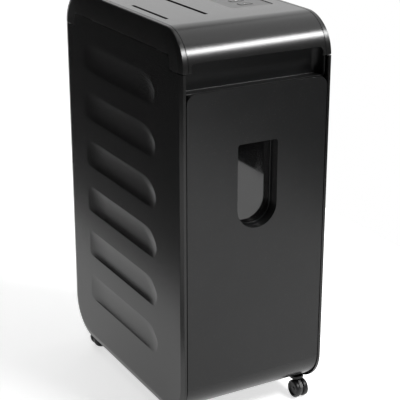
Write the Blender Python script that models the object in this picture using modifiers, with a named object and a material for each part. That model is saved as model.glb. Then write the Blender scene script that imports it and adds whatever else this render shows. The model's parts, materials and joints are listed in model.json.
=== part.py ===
"""Paper shredder: a tower cabinet on casters, with a pull-out bin drawer and a cutter head on top.

Metres, +Z up. The front faces -Y and the origin is on the floor, below the middle of the cabinet.
The paper slot and the disc slot run front to back, so the cutters and gears turn about Y.
"""
import math

import bmesh
import bpy
from mathutils import Matrix, Vector

# ---------------------------------------------------------------- driving dimensions
WIDTH = 0.280                    # over the side panels
DEPTH = 0.450                    # front to back
BODY_HEIGHT = 0.677              # side panels' bottom edge to the top of the cover
GROUND_GAP = 0.034               # floor to the side panels' bottom edge
CORNER_R = 0.065                 # round corners of the side outline

RIM = 0.007                      # depth of a side panel's edge
EDGE_RUN = 0.010                 # sloping border round a side panel, along its face
EDGE_DROP = 0.0025               # how far that border slopes inwards
WALL = 0.003                     # moulded wall thickness
SEAM = 0.0015                    # shadow gap between head and side panel
FIT = 0.0006                     # gap between fixed pieces

ARCH_BAND = 0.042                # height of the head arch over the side panel's tab
ARCH_WIDTH = 0.012               # arch, across the machine
ARCH_TUCK = 0.007                # how far the arch's outer edge curves inwards, at the top
TAB_CORNER = 0.008               # round corners of the side panel's tab

SCOOP_PITCH = 0.090
SCOOP_HEIGHT = 0.051
SCOOP_DEPTH = 0.0055
SCOOP_LOW = 0.089                # lowest scoop's lower edge above the panel's bottom edge

RECESS_DEPTH = 0.029             # hand recess above the drawer
LIP_DROP = 0.015                 # cover lip above the arches' lower ends

HEAD_HEIGHT = 0.099              # drawer front's top to the top of the cover
DRAWER_RISE = 0.008              # drawer front's bottom above the panels' bottom edge
DRAWER_GAP = 0.0017              # shadow gap at each side of the drawer front
DRAWER_CORNER = 0.0155
DRAWER_LIP = 0.008               # thickness of the drawer front's top, which the fingers pull
DRAWER_TRAVEL = 0.300

WINDOW_WIDTH = 0.076
WINDOW_DROP = 0.094              # drawer front's top to the window's top
WINDOW_HEIGHT = 0.149
WINDOW_DEPTH = 0.021             # drawer face to pane
PANE = 0.002

PAPER_SLOT_LENGTH = 0.235
PAPER_SLOT_WIDTH = 0.007
DISC_SLOT_LENGTH = 0.126
DISC_SLOT_WIDTH = 0.006
DISC_SLOT_INSET = 0.031          # disc slot from the left side
SLOT_SPACING = 0.073             # disc slot to paper slot
DISC_SLOT_FRONT = -0.120         # disc slot's front end

PANEL_SIZE = (0.080, 0.150)      # control panel, x and y
PANEL_INSET = 0.035              # control panel's right edge from the right side
PANEL_FRONT = -0.098             # control panel's front edge
BUTTON_SIZE = (0.026, 0.014)
BUTTON_TRAVEL = 0.0015

GEAR_MODULE = 0.0015
REDUCTION_MODULE = 0.002          # drive gear, reduction gear and motor pinion
PAPER_TEETH = 26                 # gears that couple the two paper cutters
DISC_TEETH = 12                  # gears that couple the two disc cutters
IDLER_TEETH = 14
DRIVE_TEETH = 30
REDUCTION_SMALL_TEETH = 10
REDUCTION_LARGE_TEETH = 28
MOTOR_TEETH = 8
GEAR_WIDTH = 0.0075

CUTTER_RINGS = 11
CUTTER_OVERLAP = 0.0025          # how deep the rings of one drum reach between the other's
SHAFT_R = 0.006
DISC_RINGS = 5
DISC_OVERLAP = 0.0010
DISC_SHAFT_R = 0.004
PLATE = 0.004                    # cutter block's end plates
MOTOR_R = 0.027
MOTOR_LENGTH = 0.105
MOTOR_SHAFT_R = 0.004
BEARING_GAP = 0.0004
IDLER_PIN_R = 0.003
REDUCTION_PIN_R = 0.004

CASTER_INSET = 0.020             # caster stem from the side
CASTER_END = 0.048               # caster stem from the front and the back
WHEEL_R = 0.0164
CASTER_WIDTH = 0.026
CASTER_TRAIL = 0.008             # stem axis to wheel axle
WEB = 0.006                      # caster's middle, between its wheels
CASTER_STEM_R = 0.0045
AXLE_R = 0.0022

# ---------------------------------------------------------------- sizes that follow
BOTTOM = GROUND_GAP
TOP = GROUND_GAP + BODY_HEIGHT
HALF_X = WIDTH / 2
HALF_Y = DEPTH / 2
INNER_X = HALF_X - RIM - FIT                  # half width of what fits between the side panels
HEAD_SEAM = TOP - CORNER_R                    # where the arches meet the side panels
TAB_TOP = TOP - ARCH_BAND + 0.001
TAB_Y = HALF_Y - ARCH_BAND - 0.001
COVER_X = HALF_X - ARCH_WIDTH - FIT
LIP_Z = HEAD_SEAM + LIP_DROP
DRAWER_TOP_Z = TOP - HEAD_HEIGHT
# moulded scoops up each side panel, as many as fit below the seam
SCOOPS = 1 + int((BODY_HEIGHT - CORNER_R - 0.015 - SCOOP_LOW - SCOOP_HEIGHT) / SCOOP_PITCH)
DRAWER_X = HALF_X - RIM - DRAWER_GAP
FLOOR_Z = BOTTOM + DRAWER_RISE                # bottom of the drawer front and the back panel
SKIRT_R = CORNER_R - 0.005                    # their curve under the cabinet
WINDOW_TOP_Z = DRAWER_TOP_Z - WINDOW_DROP

SHELF_Z = DRAWER_TOP_Z - 0.006                # underside of the mechanism shelf
SHELF_TOP = SHELF_Z + WALL
RECESS_BACK = -HALF_Y + RECESS_DEPTH
COVER_UNDER = TOP - WALL

DISC_X = -(HALF_X - DISC_SLOT_INSET)
PAPER_X = DISC_X + SLOT_SPACING
CUTTER_Z = SHELF_TOP + 0.043
# half the length between the cutter block's end plates
CUTTER_HALF = max(PAPER_SLOT_LENGTH / 2, -DISC_SLOT_FRONT) + 0.0035
PAPER_GEAR_R = GEAR_MODULE * PAPER_TEETH / 2
DISC_GEAR_R = GEAR_MODULE * DISC_TEETH / 2
IDLER_R = GEAR_MODULE * IDLER_TEETH / 2
DRUM_LEFT = Vector((PAPER_X - PAPER_GEAR_R, CUTTER_Z))
DRUM_RIGHT = Vector((PAPER_X + PAPER_GEAR_R, CUTTER_Z))
DISC_LEFT = Vector((DISC_X - DISC_GEAR_R, CUTTER_Z))
DISC_RIGHT = Vector((DISC_X + DISC_GEAR_R, CUTTER_Z))
DRUM_R = PAPER_GEAR_R + CUTTER_OVERLAP
DRUM_CORE_R = PAPER_GEAR_R - CUTTER_OVERLAP - 0.0006
DISC_R = DISC_GEAR_R + DISC_OVERLAP
DISC_CORE_R = DISC_GEAR_R - DISC_OVERLAP - 0.0005
REDUCTION = DRUM_RIGHT + Vector((REDUCTION_MODULE * (DRIVE_TEETH + REDUCTION_SMALL_TEETH) / 2, 0))
MOTOR = REDUCTION + Vector((REDUCTION_MODULE * (REDUCTION_LARGE_TEETH + MOTOR_TEETH) / 2, 0))

PLATE_FRONT_Y = -CUTTER_HALF - PLATE
PLATE_REAR_Y = CUTTER_HALF
GEAR_GAP = 0.003
FIRST_GEAR_Y = PLATE_REAR_Y + PLATE + GEAR_GAP
DRIVE_GEAR_Y = FIRST_GEAR_Y + GEAR_WIDTH + GEAR_GAP
MOTOR_GEAR_Y = DRIVE_GEAR_Y + GEAR_WIDTH + GEAR_GAP
GEARBOX_BACK = MOTOR_GEAR_Y + GEAR_WIDTH + GEAR_GAP + 0.002

BASE_Z = BOTTOM + 0.0015                      # underside of the base tray
BASE_T = 0.005
STEM_X = HALF_X - CASTER_INSET
STEM_Y = HALF_Y - CASTER_END
EAR_R = 0.012                                 # base tray's round ears that hold the casters
FRAME_Z = FLOOR_Z + WALL + 0.002              # underside of the drawer frame
FRAME_X = INNER_X - 0.0125                    # half width of the drawer frame
RAIL_Z = FRAME_Z + 0.020
TUB_Z = FRAME_Z + WALL + FIT
TUB_TOP = SHELF_Z - 0.021
TUB_FRONT = -HALF_Y + WINDOW_DEPTH + PANE + 0.003
TUB_BACK = HALF_Y - 0.055
TUB_LEFT = DISC_X + DISC_SLOT_WIDTH / 2 + 0.014
TUB_RIGHT = FRAME_X - WALL - 0.002
PANEL_RIGHT = HALF_X - PANEL_INSET
PANEL_X = PANEL_RIGHT - PANEL_SIZE[0] / 2
PANEL_Y = PANEL_FRONT + PANEL_SIZE[1] / 2
BUTTON_YS = [PANEL_FRONT + 0.028 + i * 0.030 for i in range(3)]
INLET = Vector((INNER_X - 0.060, BOTTOM + 0.100))     # power inlet's centre on the back, x and z
SWITCH = INLET + Vector((0, 0.048))
INLET_SIZE = (0.028, 0.024)
SWITCH_SIZE = (0.020, 0.028)

ARC_STEPS = 4


# ---------------------------------------------------------------- helpers
for leftover in list(bpy.data.objects):
    bpy.data.objects.remove(leftover, do_unlink=True)

parts = bpy.data.collections.new("paper_shredder")
cutters = bpy.data.collections.new("cutters")
bpy.context.scene.collection.children.link(parts)
bpy.context.scene.collection.children.link(cutters)

PLANES = {
    "XY": Matrix.Identity(4),
    "XZ": Matrix(((1, 0, 0, 0), (0, 0, -1, 0), (0, 1, 0, 0), (0, 0, 0, 1))),
    "YZ": Matrix(((0, 0, 1, 0), (1, 0, 0, 0), (0, 1, 0, 0), (0, 0, 0, 1))),
}


def material(name, colour, roughness, metallic=0.0, alpha=1.0):
    mat = bpy.data.materials.new(name)
    mat.use_nodes = True
    shader = mat.node_tree.nodes["Principled BSDF"]
    shader.inputs["Base Color"].default_value = (*colour, 1.0)
    shader.inputs["Roughness"].default_value = roughness
    shader.inputs["Metallic"].default_value = metallic
    shader.inputs["Alpha"].default_value = alpha
    return mat


SATIN_BLACK = material("satin_black_plastic", (0.020, 0.020, 0.021), 0.38)
GLOSS_BLACK = material("gloss_black_plastic", (0.012, 0.012, 0.013), 0.12)
DRAWER_GREY = material("dark_grey_plastic", (0.030, 0.030, 0.032), 0.40)
INNER_BLACK = material("inner_black_plastic", (0.010, 0.010, 0.011), 0.55)
SMOKED = material("smoked_clear_plastic", (0.020, 0.020, 0.022), 0.05, alpha=0.45)
STEEL = material("zinc_plated_steel", (0.55, 0.56, 0.57), 0.35, 1.0)
CUTTER_STEEL = material("hardened_steel", (0.32, 0.32, 0.33), 0.30, 1.0)
GEAR_PLASTIC = material("gear_plastic", (0.75, 0.73, 0.66), 0.45)
BIN_GREY = material("bin_grey_plastic", (0.12, 0.12, 0.125), 0.50)
BOARD_GREEN = material("circuit_board", (0.03, 0.16, 0.08), 0.50)
SWITCH_BLACK = material("switch_black_plastic", (0.015, 0.015, 0.015), 0.30)
TYRE_GREY = material("caster_nylon", (0.050, 0.050, 0.052), 0.45)


def place(obj, collection=parts):
    collection.objects.link(obj)
    return obj


def named(obj, name, mat):
    obj.name = name
    obj.data.name = name
    obj.data.materials.clear()
    obj.data.materials.append(mat)
    return obj


def rounded(corners, steps=ARC_STEPS):
    """Points of a closed outline whose corners (a, b, radius) are rounded."""
    points = []
    count = len(corners)
    for i, (a, b, radius) in enumerate(corners):
        here = Vector((a, b))
        if radius <= 0:
            points.append(here)
            continue
        before = (Vector(corners[i - 1][:2]) - here).normalized()
        after = (Vector(corners[(i + 1) % count][:2]) - here).normalized()
        half = before.angle(after) / 2
        reach = radius / math.tan(half)
        centre = here + (before + after).normalized() * (radius / math.sin(half))
        start = here + before * reach - centre
        turn = (here + after * reach - centre).angle_signed(start)
        for k in range(steps + 1):
            points.append(centre + Matrix.Rotation(turn * k / steps, 2) @ start)
    clean = []
    for point in points:
        if not clean or (point - clean[-1]).length > 1e-6:
            clean.append(point)
    if (clean[0] - clean[-1]).length < 1e-6:
        clean.pop()
    return clean


def box_outline(a0, b0, a1, b1, radius=0.0, steps=3):
    return rounded([(a0, b0, radius), (a1, b0, radius), (a1, b1, radius), (a0, b1, radius)], steps)


def arc(centre, radius, start, end, steps=2 * ARC_STEPS):
    """Points on an arc; angles in degrees."""
    angles = [math.radians(start + (end - start) * k / steps) for k in range(steps + 1)]
    return [Vector(centre) + radius * Vector((math.cos(a), math.sin(a))) for a in angles]


def extrude(plane, outlines, low, high):
    """A plate from flat outlines (the first is the rim, the others are holes), as a welded mesh.

    low and high are the plate's limits along the axis that is square to its plane.
    """
    curve = bpy.data.curves.new("outline", "CURVE")
    curve.dimensions = "2D"
    curve.fill_mode = "BOTH"
    curve.extrude = (high - low) / 2
    for outline in outlines:
        spline = curve.splines.new("POLY")
        spline.points.add(len(outline) - 1)
        for point, (a, b) in zip(spline.points, outline):
            point.co = (a, b, 0, 1)
        spline.use_cyclic_u = True
    flat = bpy.data.objects.new("outline", curve)
    bpy.context.scene.collection.objects.link(flat)
    evaluated = flat.evaluated_get(bpy.context.evaluated_depsgraph_get())
    mesh = bpy.data.meshes.new_from_object(evaluated)
    middle = (high + low) / 2
    axis = PLANES[plane] @ Vector((0, 0, 1))
    along = axis * middle * (-1 if plane == "XZ" else 1)
    mesh.transform(Matrix.Translation(along) @ PLANES[plane])
    weld = bmesh.new()
    weld.from_mesh(mesh)
    bmesh.ops.remove_doubles(weld, verts=weld.verts, dist=1e-6)
    bmesh.ops.recalc_face_normals(weld, faces=weld.faces)
    weld.to_mesh(mesh)
    weld.free()
    mesh.shade_flat()
    bpy.data.objects.remove(flat, do_unlink=True)
    return place(bpy.data.objects.new("plate", mesh))


def box(low, high, bevel=0.0):
    """A box between two corners."""
    mesh = bpy.data.meshes.new("box")
    solid = bmesh.new()
    size = Vector(high) - Vector(low)
    centre = (Vector(high) + Vector(low)) / 2
    bmesh.ops.create_cube(solid, size=1.0,
                          matrix=Matrix.Translation(centre) @ Matrix.Diagonal((*size, 1)))
    solid.to_mesh(mesh)
    solid.free()
    obj = place(bpy.data.objects.new("box", mesh))
    if bevel:
        edge = obj.modifiers.new("round", "BEVEL")
        edge.width = bevel
        edge.segments = 2
    return obj


def cylinder(plane, centre, radius, low, high, segments=16):
    """A cylinder square to a plane, centred on a point of that plane."""
    outline = arc(centre, radius, 0, 360, segments)[:-1]
    return extrude(plane, [outline], low, high)


def turned(axis_point, profile, axis="Y", segments=24):
    """A solid turned about a line: profile holds (radius, position along the line)."""
    mesh = bpy.data.meshes.new("profile")
    line = bmesh.new()
    verts = [line.verts.new((radius, 0, along)) for radius, along in reversed(profile)]
    for a, b in zip(verts, verts[1:]):
        line.edges.new((a, b))
    line.to_mesh(mesh)
    line.free()
    obj = place(bpy.data.objects.new("turned", mesh))
    screw = obj.modifiers.new("turn", "SCREW")
    screw.steps = segments
    screw.render_steps = segments
    screw.use_merge_vertices = True
    screw.merge_threshold = 1e-5
    turn = {"Y": Matrix.Rotation(-math.pi / 2, 4, "X"),
            "X": Matrix.Rotation(math.pi / 2, 4, "Y"),
            "Z": Matrix.Identity(4)}[axis]
    obj.matrix_world = Matrix.Translation(axis_point) @ turn
    return obj


def boolean(target, tool, operation="DIFFERENCE"):
    change = target.modifiers.new(operation.lower(), "BOOLEAN")
    change.operation = operation
    change.object = tool
    for collection in list(tool.users_collection):
        collection.objects.unlink(tool)
    cutters.objects.link(tool)
    tool.hide_render = True
    tool.display_type = "WIRE"
    return target


def join(target, *tools):
    for tool in tools:
        boolean(target, tool, "UNION")
    return target


def cut(target, *tools):
    for tool in tools:
        boolean(target, tool)
    return target


def joint_origin(obj, location):
    """Moves an object's origin to a point on its joint's axis, leaving its shape where it is."""
    shift = obj.matrix_world.inverted() @ Vector(location)
    obj.data.transform(Matrix.Translation(-shift))
    obj.matrix_world = obj.matrix_world @ Matrix.Translation(shift)
    return obj


def smooth(obj, angle=35):
    obj.data.shade_smooth()
    obj.data.set_sharp_from_angle(angle=math.radians(angle))
    return obj


# ---------------------------------------------------------------- side panels
def scoop_corners(grow=0.0):
    """A scoop seen from the side, from its lower edge up: (y, height, radius)."""
    front, rear, height = -0.119, 0.147, SCOOP_HEIGHT
    return [(rear + grow, -grow, 0.003), (front - grow, -grow, 0.003),
            (front - 0.015 - grow, height / 2, 0.014), (front + 0.008, height + grow, 0.026),
            (rear - 0.004 + grow, height + grow, 0.003)]


def panel_outline(inset=0.0):
    """Side panel: a rounded slab with a tab that reaches up into the head arch."""
    y, tab = HALF_Y - inset, TAB_Y - SEAM / 2 - inset
    shoulder, top = HEAD_SEAM - SEAM / 2 - inset, TAB_TOP - SEAM / 2 - inset
    low = BOTTOM + inset
    return rounded([(-y, low, CORNER_R - inset), (y, low, CORNER_R - inset), (y, shoulder, 0),
                    (tab, shoulder, 0), (tab, top, TAB_CORNER), (-tab, top, TAB_CORNER),
                    (-tab, shoulder, 0), (-y, shoulder, 0)], 8)


def sloping_border(side):
    """Solid that a panel is trimmed to: its face slopes inwards towards the front, rear and bottom."""
    rings = []
    form = bmesh.new()
    for x, inset in ((HALF_X, EDGE_RUN), (HALF_X - EDGE_DROP, 0.0), (HALF_X - RIM - 0.002, 0.0)):
        y, low, high, radius = HALF_Y - inset, BOTTOM + inset, TOP + 0.02, CORNER_R - inset
        outline = rounded([(-y, low, radius), (y, low, radius), (y, high, 0), (-y, high, 0)], 8)
        rings.append([form.verts.new((side * x, a, b)) for a, b in outline])
    for ring, following in zip(rings, rings[1:]):
        for i in range(len(ring)):
            form.faces.new((ring[i - 1], ring[i], following[i], following[i - 1]))
    form.faces.new(rings[0])
    form.faces.new(rings[-1])
    bmesh.ops.recalc_face_normals(form, faces=form.faces)
    mesh = bpy.data.meshes.new("border")
    form.to_mesh(mesh)
    form.free()
    return place(bpy.data.objects.new("border", mesh))


def side_panel(side, name):
    outer = side * HALF_X
    inner = side * (HALF_X - RIM)
    skin = side * (HALF_X - WALL)
    panel = extrude("YZ", [panel_outline()], min(outer, inner), max(outer, inner))
    lows = [BOTTOM + SCOOP_LOW + i * SCOOP_PITCH for i in range(SCOOPS)]
    pads = [rounded([(y, z + low, r) for y, z, r in scoop_corners(0.003)], 2) for low in lows]
    pocket_low, pocket_high = sorted((skin, inner - side * 0.002))
    boolean(panel, sloping_border(side), "INTERSECT")
    cut(panel, extrude("YZ", [panel_outline(2 * WALL)] + pads, pocket_low, pocket_high))
    slope = math.atan(SCOOP_DEPTH / SCOOP_HEIGHT)
    for low in lows:
        shape = rounded([(y, z - SCOOP_HEIGHT, r) for y, z, r in scoop_corners()], 3)
        limits = (-0.02, 0.0) if side < 0 else (0.0, 0.02)
        scoop = extrude("YZ", [shape], *limits)
        scoop.matrix_world = (Matrix.Translation((outer, 0, low + SCOOP_HEIGHT))
                              @ Matrix.Rotation(side * slope, 4, "Y"))
        cut(panel, scoop)
    return named(panel, name, SATIN_BLACK)


# ---------------------------------------------------------------- head shell
def arch_paths():
    """The arch's outer path, its inner path round the side panel's tab, and the way up from 0 to 1."""
    start = math.degrees(math.asin(SEAM / 2 / CORNER_R))
    corner = TAB_CORNER
    tab, top = TAB_Y + SEAM / 2, TAB_TOP + SEAM / 2
    low = HEAD_SEAM + SEAM / 2
    outer = arc((-HALF_Y + CORNER_R, HEAD_SEAM), CORNER_R, 180 - start, 90, 12)
    leg = [Vector((-tab, low + (top - corner - low) * k / 6)) for k in range(6)]
    bend = arc((-tab + corner, top - corner), corner, 180, 90, 6)
    inner = leg + bend
    rise = [k / (len(outer) - 1) for k in range(len(outer))]
    return (outer + [Vector((-p.x, p.y)) for p in reversed(outer)],
            inner + [Vector((-p.x, p.y)) for p in reversed(inner)], rise + rise[::-1])


def head_arch(side, name):
    """Loft of the arch's section: like the side panel's border at the seam, a wide curve at the top."""
    outer, inner, rises = arch_paths()
    edge = HALF_X - ARCH_TUCK
    depth = ARCH_BAND - SEAM / 2
    fractions = (0.0, 0.05, EDGE_RUN / depth, 0.42, 0.72, 1.0)
    mesh = bpy.data.meshes.new(name)
    loft = bmesh.new()
    rings = []
    for p, q, rise in zip(outer, inner, rises):
        wide = rise * rise * (3 - 2 * rise)
        section = [(HALF_X - ARCH_WIDTH, p)]
        for f in fractions:
            border = EDGE_DROP * max(0.0, 1 - f * depth / EDGE_RUN)
            curve = ARCH_TUCK * (1 - math.sqrt(1 - (1 - f) ** 2))
            section.append((HALF_X - border * (1 - wide) - curve * wide, p.lerp(q, f)))
        inset = p.lerp(q, WALL / depth)
        section += [(HALF_X - WALL, q), (edge - 0.001, inset), (HALF_X - ARCH_WIDTH, inset)]
        rings.append([loft.verts.new((side * x, point.x, point.y)) for x, point in section])
    for ring, following in zip(rings, rings[1:]):
        for i in range(len(ring)):
            j = (i + 1) % len(ring)
            loft.faces.new((ring[i], ring[j], following[j], following[i]))
    loft.faces.new(rings[0])
    loft.faces.new(rings[-1])
    bmesh.ops.recalc_face_normals(loft, faces=loft.faces)
    loft.to_mesh(mesh)
    loft.free()
    return named(place(bpy.data.objects.new(name, mesh)), name, SATIN_BLACK)


def top_cover():
    """Curved cover between the arches: one profile from the front lip over the top to the back."""
    low = math.degrees(math.asin(SEAM / 2 / CORNER_R))
    y, r = HALF_Y - CORNER_R, CORNER_R
    outer = arc((-y, HEAD_SEAM), r, 180 - low, 90, 12) + arc((y, HEAD_SEAM), r, 90, low, 12)
    inner = arc((y, HEAD_SEAM), r - WALL, low, 90, 12) + arc((-y, HEAD_SEAM), r - WALL, 90, 180 - low, 12)
    cover = extrude("YZ", [outer + inner], -COVER_X, COVER_X)
    leg = 0.005
    notch = box_outline(-COVER_X + leg, HEAD_SEAM - 0.02, COVER_X - leg, LIP_Z, 0.007)
    cut(cover, extrude("XZ", [notch], -HALF_Y - 0.01, -HALF_Y + 0.02))
    w, l = PAPER_SLOT_WIDTH / 2, PAPER_SLOT_LENGTH / 2
    slots = [box_outline(PAPER_X - w, -l, PAPER_X + w, l, 0.003)]
    w, front = DISC_SLOT_WIDTH / 2, DISC_SLOT_FRONT
    slots.append(box_outline(DISC_X - w, front, DISC_X + w, front + DISC_SLOT_LENGTH, 0.0025))
    a, b = PANEL_SIZE[0] / 2 + FIT, PANEL_SIZE[1] / 2 + FIT
    slots.append(box_outline(PANEL_X - a, PANEL_Y - b, PANEL_X + a, PANEL_Y + b, 0.006))
    for slot in slots:
        cut(cover, extrude("XY", [slot], TOP - 0.02, TOP + 0.01))
    return named(cover, "top_cover", GLOSS_BLACK)


def recess_fascia():
    """Dark hand recess behind the cover's lip: back wall, side walls, roof and floor."""
    front, back = -HALF_Y + 0.008, RECESS_BACK + WALL
    floor, roof = DRAWER_TOP_Z - 0.001, LIP_Z + WALL
    fascia = box((-INNER_X, front, floor - WALL), (INNER_X, back, roof + WALL))
    side = INNER_X - 0.003
    cavity = rounded([(-side, RECESS_BACK, 0.012), (-side, -HALF_Y - 0.01, 0),
                      (side, -HALF_Y - 0.01, 0), (side, RECESS_BACK, 0.012)])
    cut(fascia, extrude("XY", [cavity], floor, roof))
    wide = INNER_X + 0.01
    drawer_room = box((-wide, front - 0.01, floor - 0.01),
                      (wide, -HALF_Y + DRAWER_LIP + 0.004, DRAWER_TOP_Z + 0.002))
    shell_room = box((-wide, front - 0.01, HEAD_SEAM - FIT), (wide, -HALF_Y + 0.0095, roof + 0.01))
    cut(fascia, drawer_room, shell_room)
    return named(fascia, "recess_fascia", INNER_BLACK)


# ---------------------------------------------------------------- cabinet
def skirt_profile(end, top_z, inset=0.0):
    """Outer line of the drawer front (end -1) or the back panel (end 1), from the top down."""
    y, z = HALF_Y - SKIRT_R, FLOOR_Z + SKIRT_R
    curve = arc((end * y, z), SKIRT_R - inset, 180 if end < 0 else 0, 270 if end < 0 else -90)
    return [Vector((end * (HALF_Y - inset), top_z))] + curve


def back_panel():
    inset = 0.003
    top = HEAD_SEAM - FIT
    outer = [Vector((p.x - inset, p.y)) for p in skirt_profile(1, top)]
    inner = [Vector((p.x - inset, p.y)) for p in skirt_profile(1, top, WALL)]
    panel = extrude("YZ", [outer + inner[::-1]], -INNER_X, INNER_X)
    depth = (HALF_Y - 0.02, HALF_Y + 0.01)
    w, h = INLET_SIZE[0] / 2 + FIT, INLET_SIZE[1] / 2 + FIT
    cut(panel, extrude("XZ", [box_outline(INLET.x - w, INLET.y - h, INLET.x + w, INLET.y + h, 0.003)],
                       *depth))
    w, h = SWITCH_SIZE[0] / 2 + FIT, SWITCH_SIZE[1] / 2 + FIT
    cut(panel, extrude("XZ", [box_outline(SWITCH.x - w, SWITCH.y - h, SWITCH.x + w, SWITCH.y + h)],
                       *depth))
    for row in range(6):
        z = HEAD_SEAM - 0.075 - row * 0.014
        cut(panel, extrude("XZ", [box_outline(-0.075, z - 0.003, 0.075, z + 0.003, 0.0028, 2)], *depth))
    return named(panel, "back_panel", SATIN_BLACK)


def base_tray():
    """Floor of the cabinet, with a round ear over each caster and a low rim at the sides."""
    half = HALF_Y - 0.070
    ear_in, reach = STEM_X - EAR_R, STEM_Y + EAR_R
    corners = []
    for sx, sy in ((1, -1), (1, 1), (-1, 1), (-1, -1)):
        ear = [(sx * ear_in, sy * half, 0.0), (sx * ear_in, sy * reach, 0.009),
               (sx * INNER_X, sy * reach, 0.009)]
        corners += ear if sx * sy < 0 else ear[::-1]
    holes = [arc((x, y), CASTER_STEM_R + BEARING_GAP, 0, 360, 14)[:-1]
             for x in (-STEM_X, STEM_X) for y in (-STEM_Y, STEM_Y)]
    tray = extrude("XY", [rounded(corners)] + holes, BASE_Z, BASE_Z + BASE_T)
    for side in (-1, 1):
        low, high = sorted((side * (INNER_X - 0.0003), side * (INNER_X - WALL)))
        join(tray, box((low, -half + 0.002, BASE_Z + 0.001), (high, half - 0.002, FRAME_Z + 0.012)))
    return named(tray, "base_tray", INNER_BLACK)


def mechanism_shelf():
    """Shelf that carries the cutter head, with openings for the shreds to fall through."""
    low, high = RECESS_BACK + WALL + 0.0015, HALF_Y - 0.0075
    openings = [box_outline(DRUM_LEFT.x - DRUM_R, -CUTTER_HALF + 0.004,
                            DRUM_RIGHT.x + DRUM_R, CUTTER_HALF - 0.004, 0.005),
                box_outline(DISC_LEFT.x, -CUTTER_HALF + 0.004, DISC_RIGHT.x, CUTTER_HALF - 0.004, 0.005)]
    outline = box_outline(-INNER_X, low, INNER_X, high, 0.003)
    return named(extrude("XY", [outline] + openings, SHELF_Z, SHELF_TOP), "mechanism_shelf", STEEL)


def drawer_rail(side, name):
    """Channel that the drawer frame's runner slides in."""
    back, front, lip, half = INNER_X, FRAME_X + 0.0025, 0.0015, 0.009
    gap = 0.0035
    z = RAIL_Z + 0.002
    corners = [(front, z - half, 0), (back, z - half, 0), (back, z + half, 0), (front, z + half, 0),
               (front, z + gap, 0), (back - lip, z + gap, 0), (back - lip, z - gap, 0), (front, z - gap, 0)]
    outline = rounded([(side * x, height, r) for x, height, r in corners])
    return named(extrude("XZ", [outline], -HALF_Y + 0.035, HALF_Y - 0.030), name, STEEL)


# ---------------------------------------------------------------- drawer
def window_outline(grow=0.0):
    w, top, low = WINDOW_WIDTH / 2 + grow, WINDOW_TOP_Z + grow, WINDOW_TOP_Z - WINDOW_HEIGHT - grow
    return rounded([(-w, low, w - 0.0001), (w, low, w - 0.0001), (w, top, 0.005), (-w, top, 0.005)], 6)


def drawer_front():
    """Flat front that curves under the cabinet, with a thick top lip and a deep window well."""
    outer = skirt_profile(-1, DRAWER_TOP_Z)
    inner = skirt_profile(-1, DRAWER_TOP_Z - 0.006, WALL)
    lip = -HALF_Y + DRAWER_LIP
    outline = outer + inner[::-1] + [Vector((lip, DRAWER_TOP_Z - 0.006)), Vector((lip, DRAWER_TOP_Z))]
    front = extrude("YZ", [outline], -DRAWER_X, DRAWER_X)
    shape = rounded([(-DRAWER_X, FLOOR_Z - 0.01, 0), (DRAWER_X, FLOOR_Z - 0.01, 0),
                     (DRAWER_X, DRAWER_TOP_Z, DRAWER_CORNER), (-DRAWER_X, DRAWER_TOP_Z, DRAWER_CORNER)])
    boolean(front, extrude("XZ", [shape], -HALF_Y - 0.01, 0), "INTERSECT")
    well_back = -HALF_Y + WINDOW_DEPTH
    join(front, extrude("XZ", [window_outline(WALL)], -HALF_Y + 0.001, well_back))
    cut(front, extrude("XZ", [window_outline()], -HALF_Y - 0.01, well_back + 0.01))
    return named(front, "drawer_front", DRAWER_GREY)


def window_pane():
    back = -HALF_Y + WINDOW_DEPTH
    return named(extrude("XZ", [window_outline(0.006)], back + 0.0003, back + 0.0003 + PANE),
                 "window_pane", SMOKED)


def drawer_frame():
    """Low sledge behind the drawer front: floor, side walls and runners for the rails."""
    front, back = -HALF_Y + SKIRT_R + 0.001, HALF_Y - SKIRT_R - 0.006
    x, t = FRAME_X, WALL
    wall_top = FRAME_Z + 0.060
    corners = [(-x, FRAME_Z, 0), (x, FRAME_Z, 0), (x, RAIL_Z, 0), (x + 0.008, RAIL_Z, 0),
               (x + 0.008, RAIL_Z + 0.004, 0), (x, RAIL_Z + 0.004, 0), (x, wall_top, 0),
               (x - t, wall_top, 0), (x - t, FRAME_Z + t, 0), (-x + t, FRAME_Z + t, 0),
               (-x + t, wall_top, 0), (-x, wall_top, 0), (-x, RAIL_Z + 0.004, 0),
               (-x - 0.008, RAIL_Z + 0.004, 0), (-x - 0.008, RAIL_Z, 0), (-x, RAIL_Z, 0)]
    return named(extrude("XZ", [rounded(corners)], front, back), "drawer_frame", STEEL)


def bin_tub():
    """Open tub for the shreds; its front wall has a hole behind the window."""
    t = 0.0025
    tub = extrude("XY", [box_outline(TUB_LEFT, TUB_FRONT, TUB_RIGHT, TUB_BACK, 0.010)], TUB_Z, TUB_TOP)
    room = box_outline(TUB_LEFT + t, TUB_FRONT + t, TUB_RIGHT - t, TUB_BACK - t, 0.008)
    cut(tub, extrude("XY", [room], TUB_Z + t, TUB_TOP + 0.01))
    cut(tub, extrude("XZ", [window_outline(-0.003)], TUB_FRONT - 0.01, TUB_FRONT + 0.012))
    step = -HALF_Y + SKIRT_R - 0.002
    foot = box((TUB_LEFT - 0.01, TUB_FRONT - 0.01, TUB_Z - 0.01), (TUB_RIGHT + 0.01, step, TUB_Z + 0.075))
    cut(tub, foot)
    riser = box((TUB_LEFT, TUB_FRONT, TUB_Z + 0.075), (TUB_RIGHT, step + 0.0025, TUB_Z + 0.0775))
    wall = box((TUB_LEFT, step, TUB_Z + 0.0005), (TUB_RIGHT, step + 0.0025, TUB_Z + 0.0775))
    join(tub, riser, wall)
    return named(tub, "bin_tub", BIN_GREY)


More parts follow.
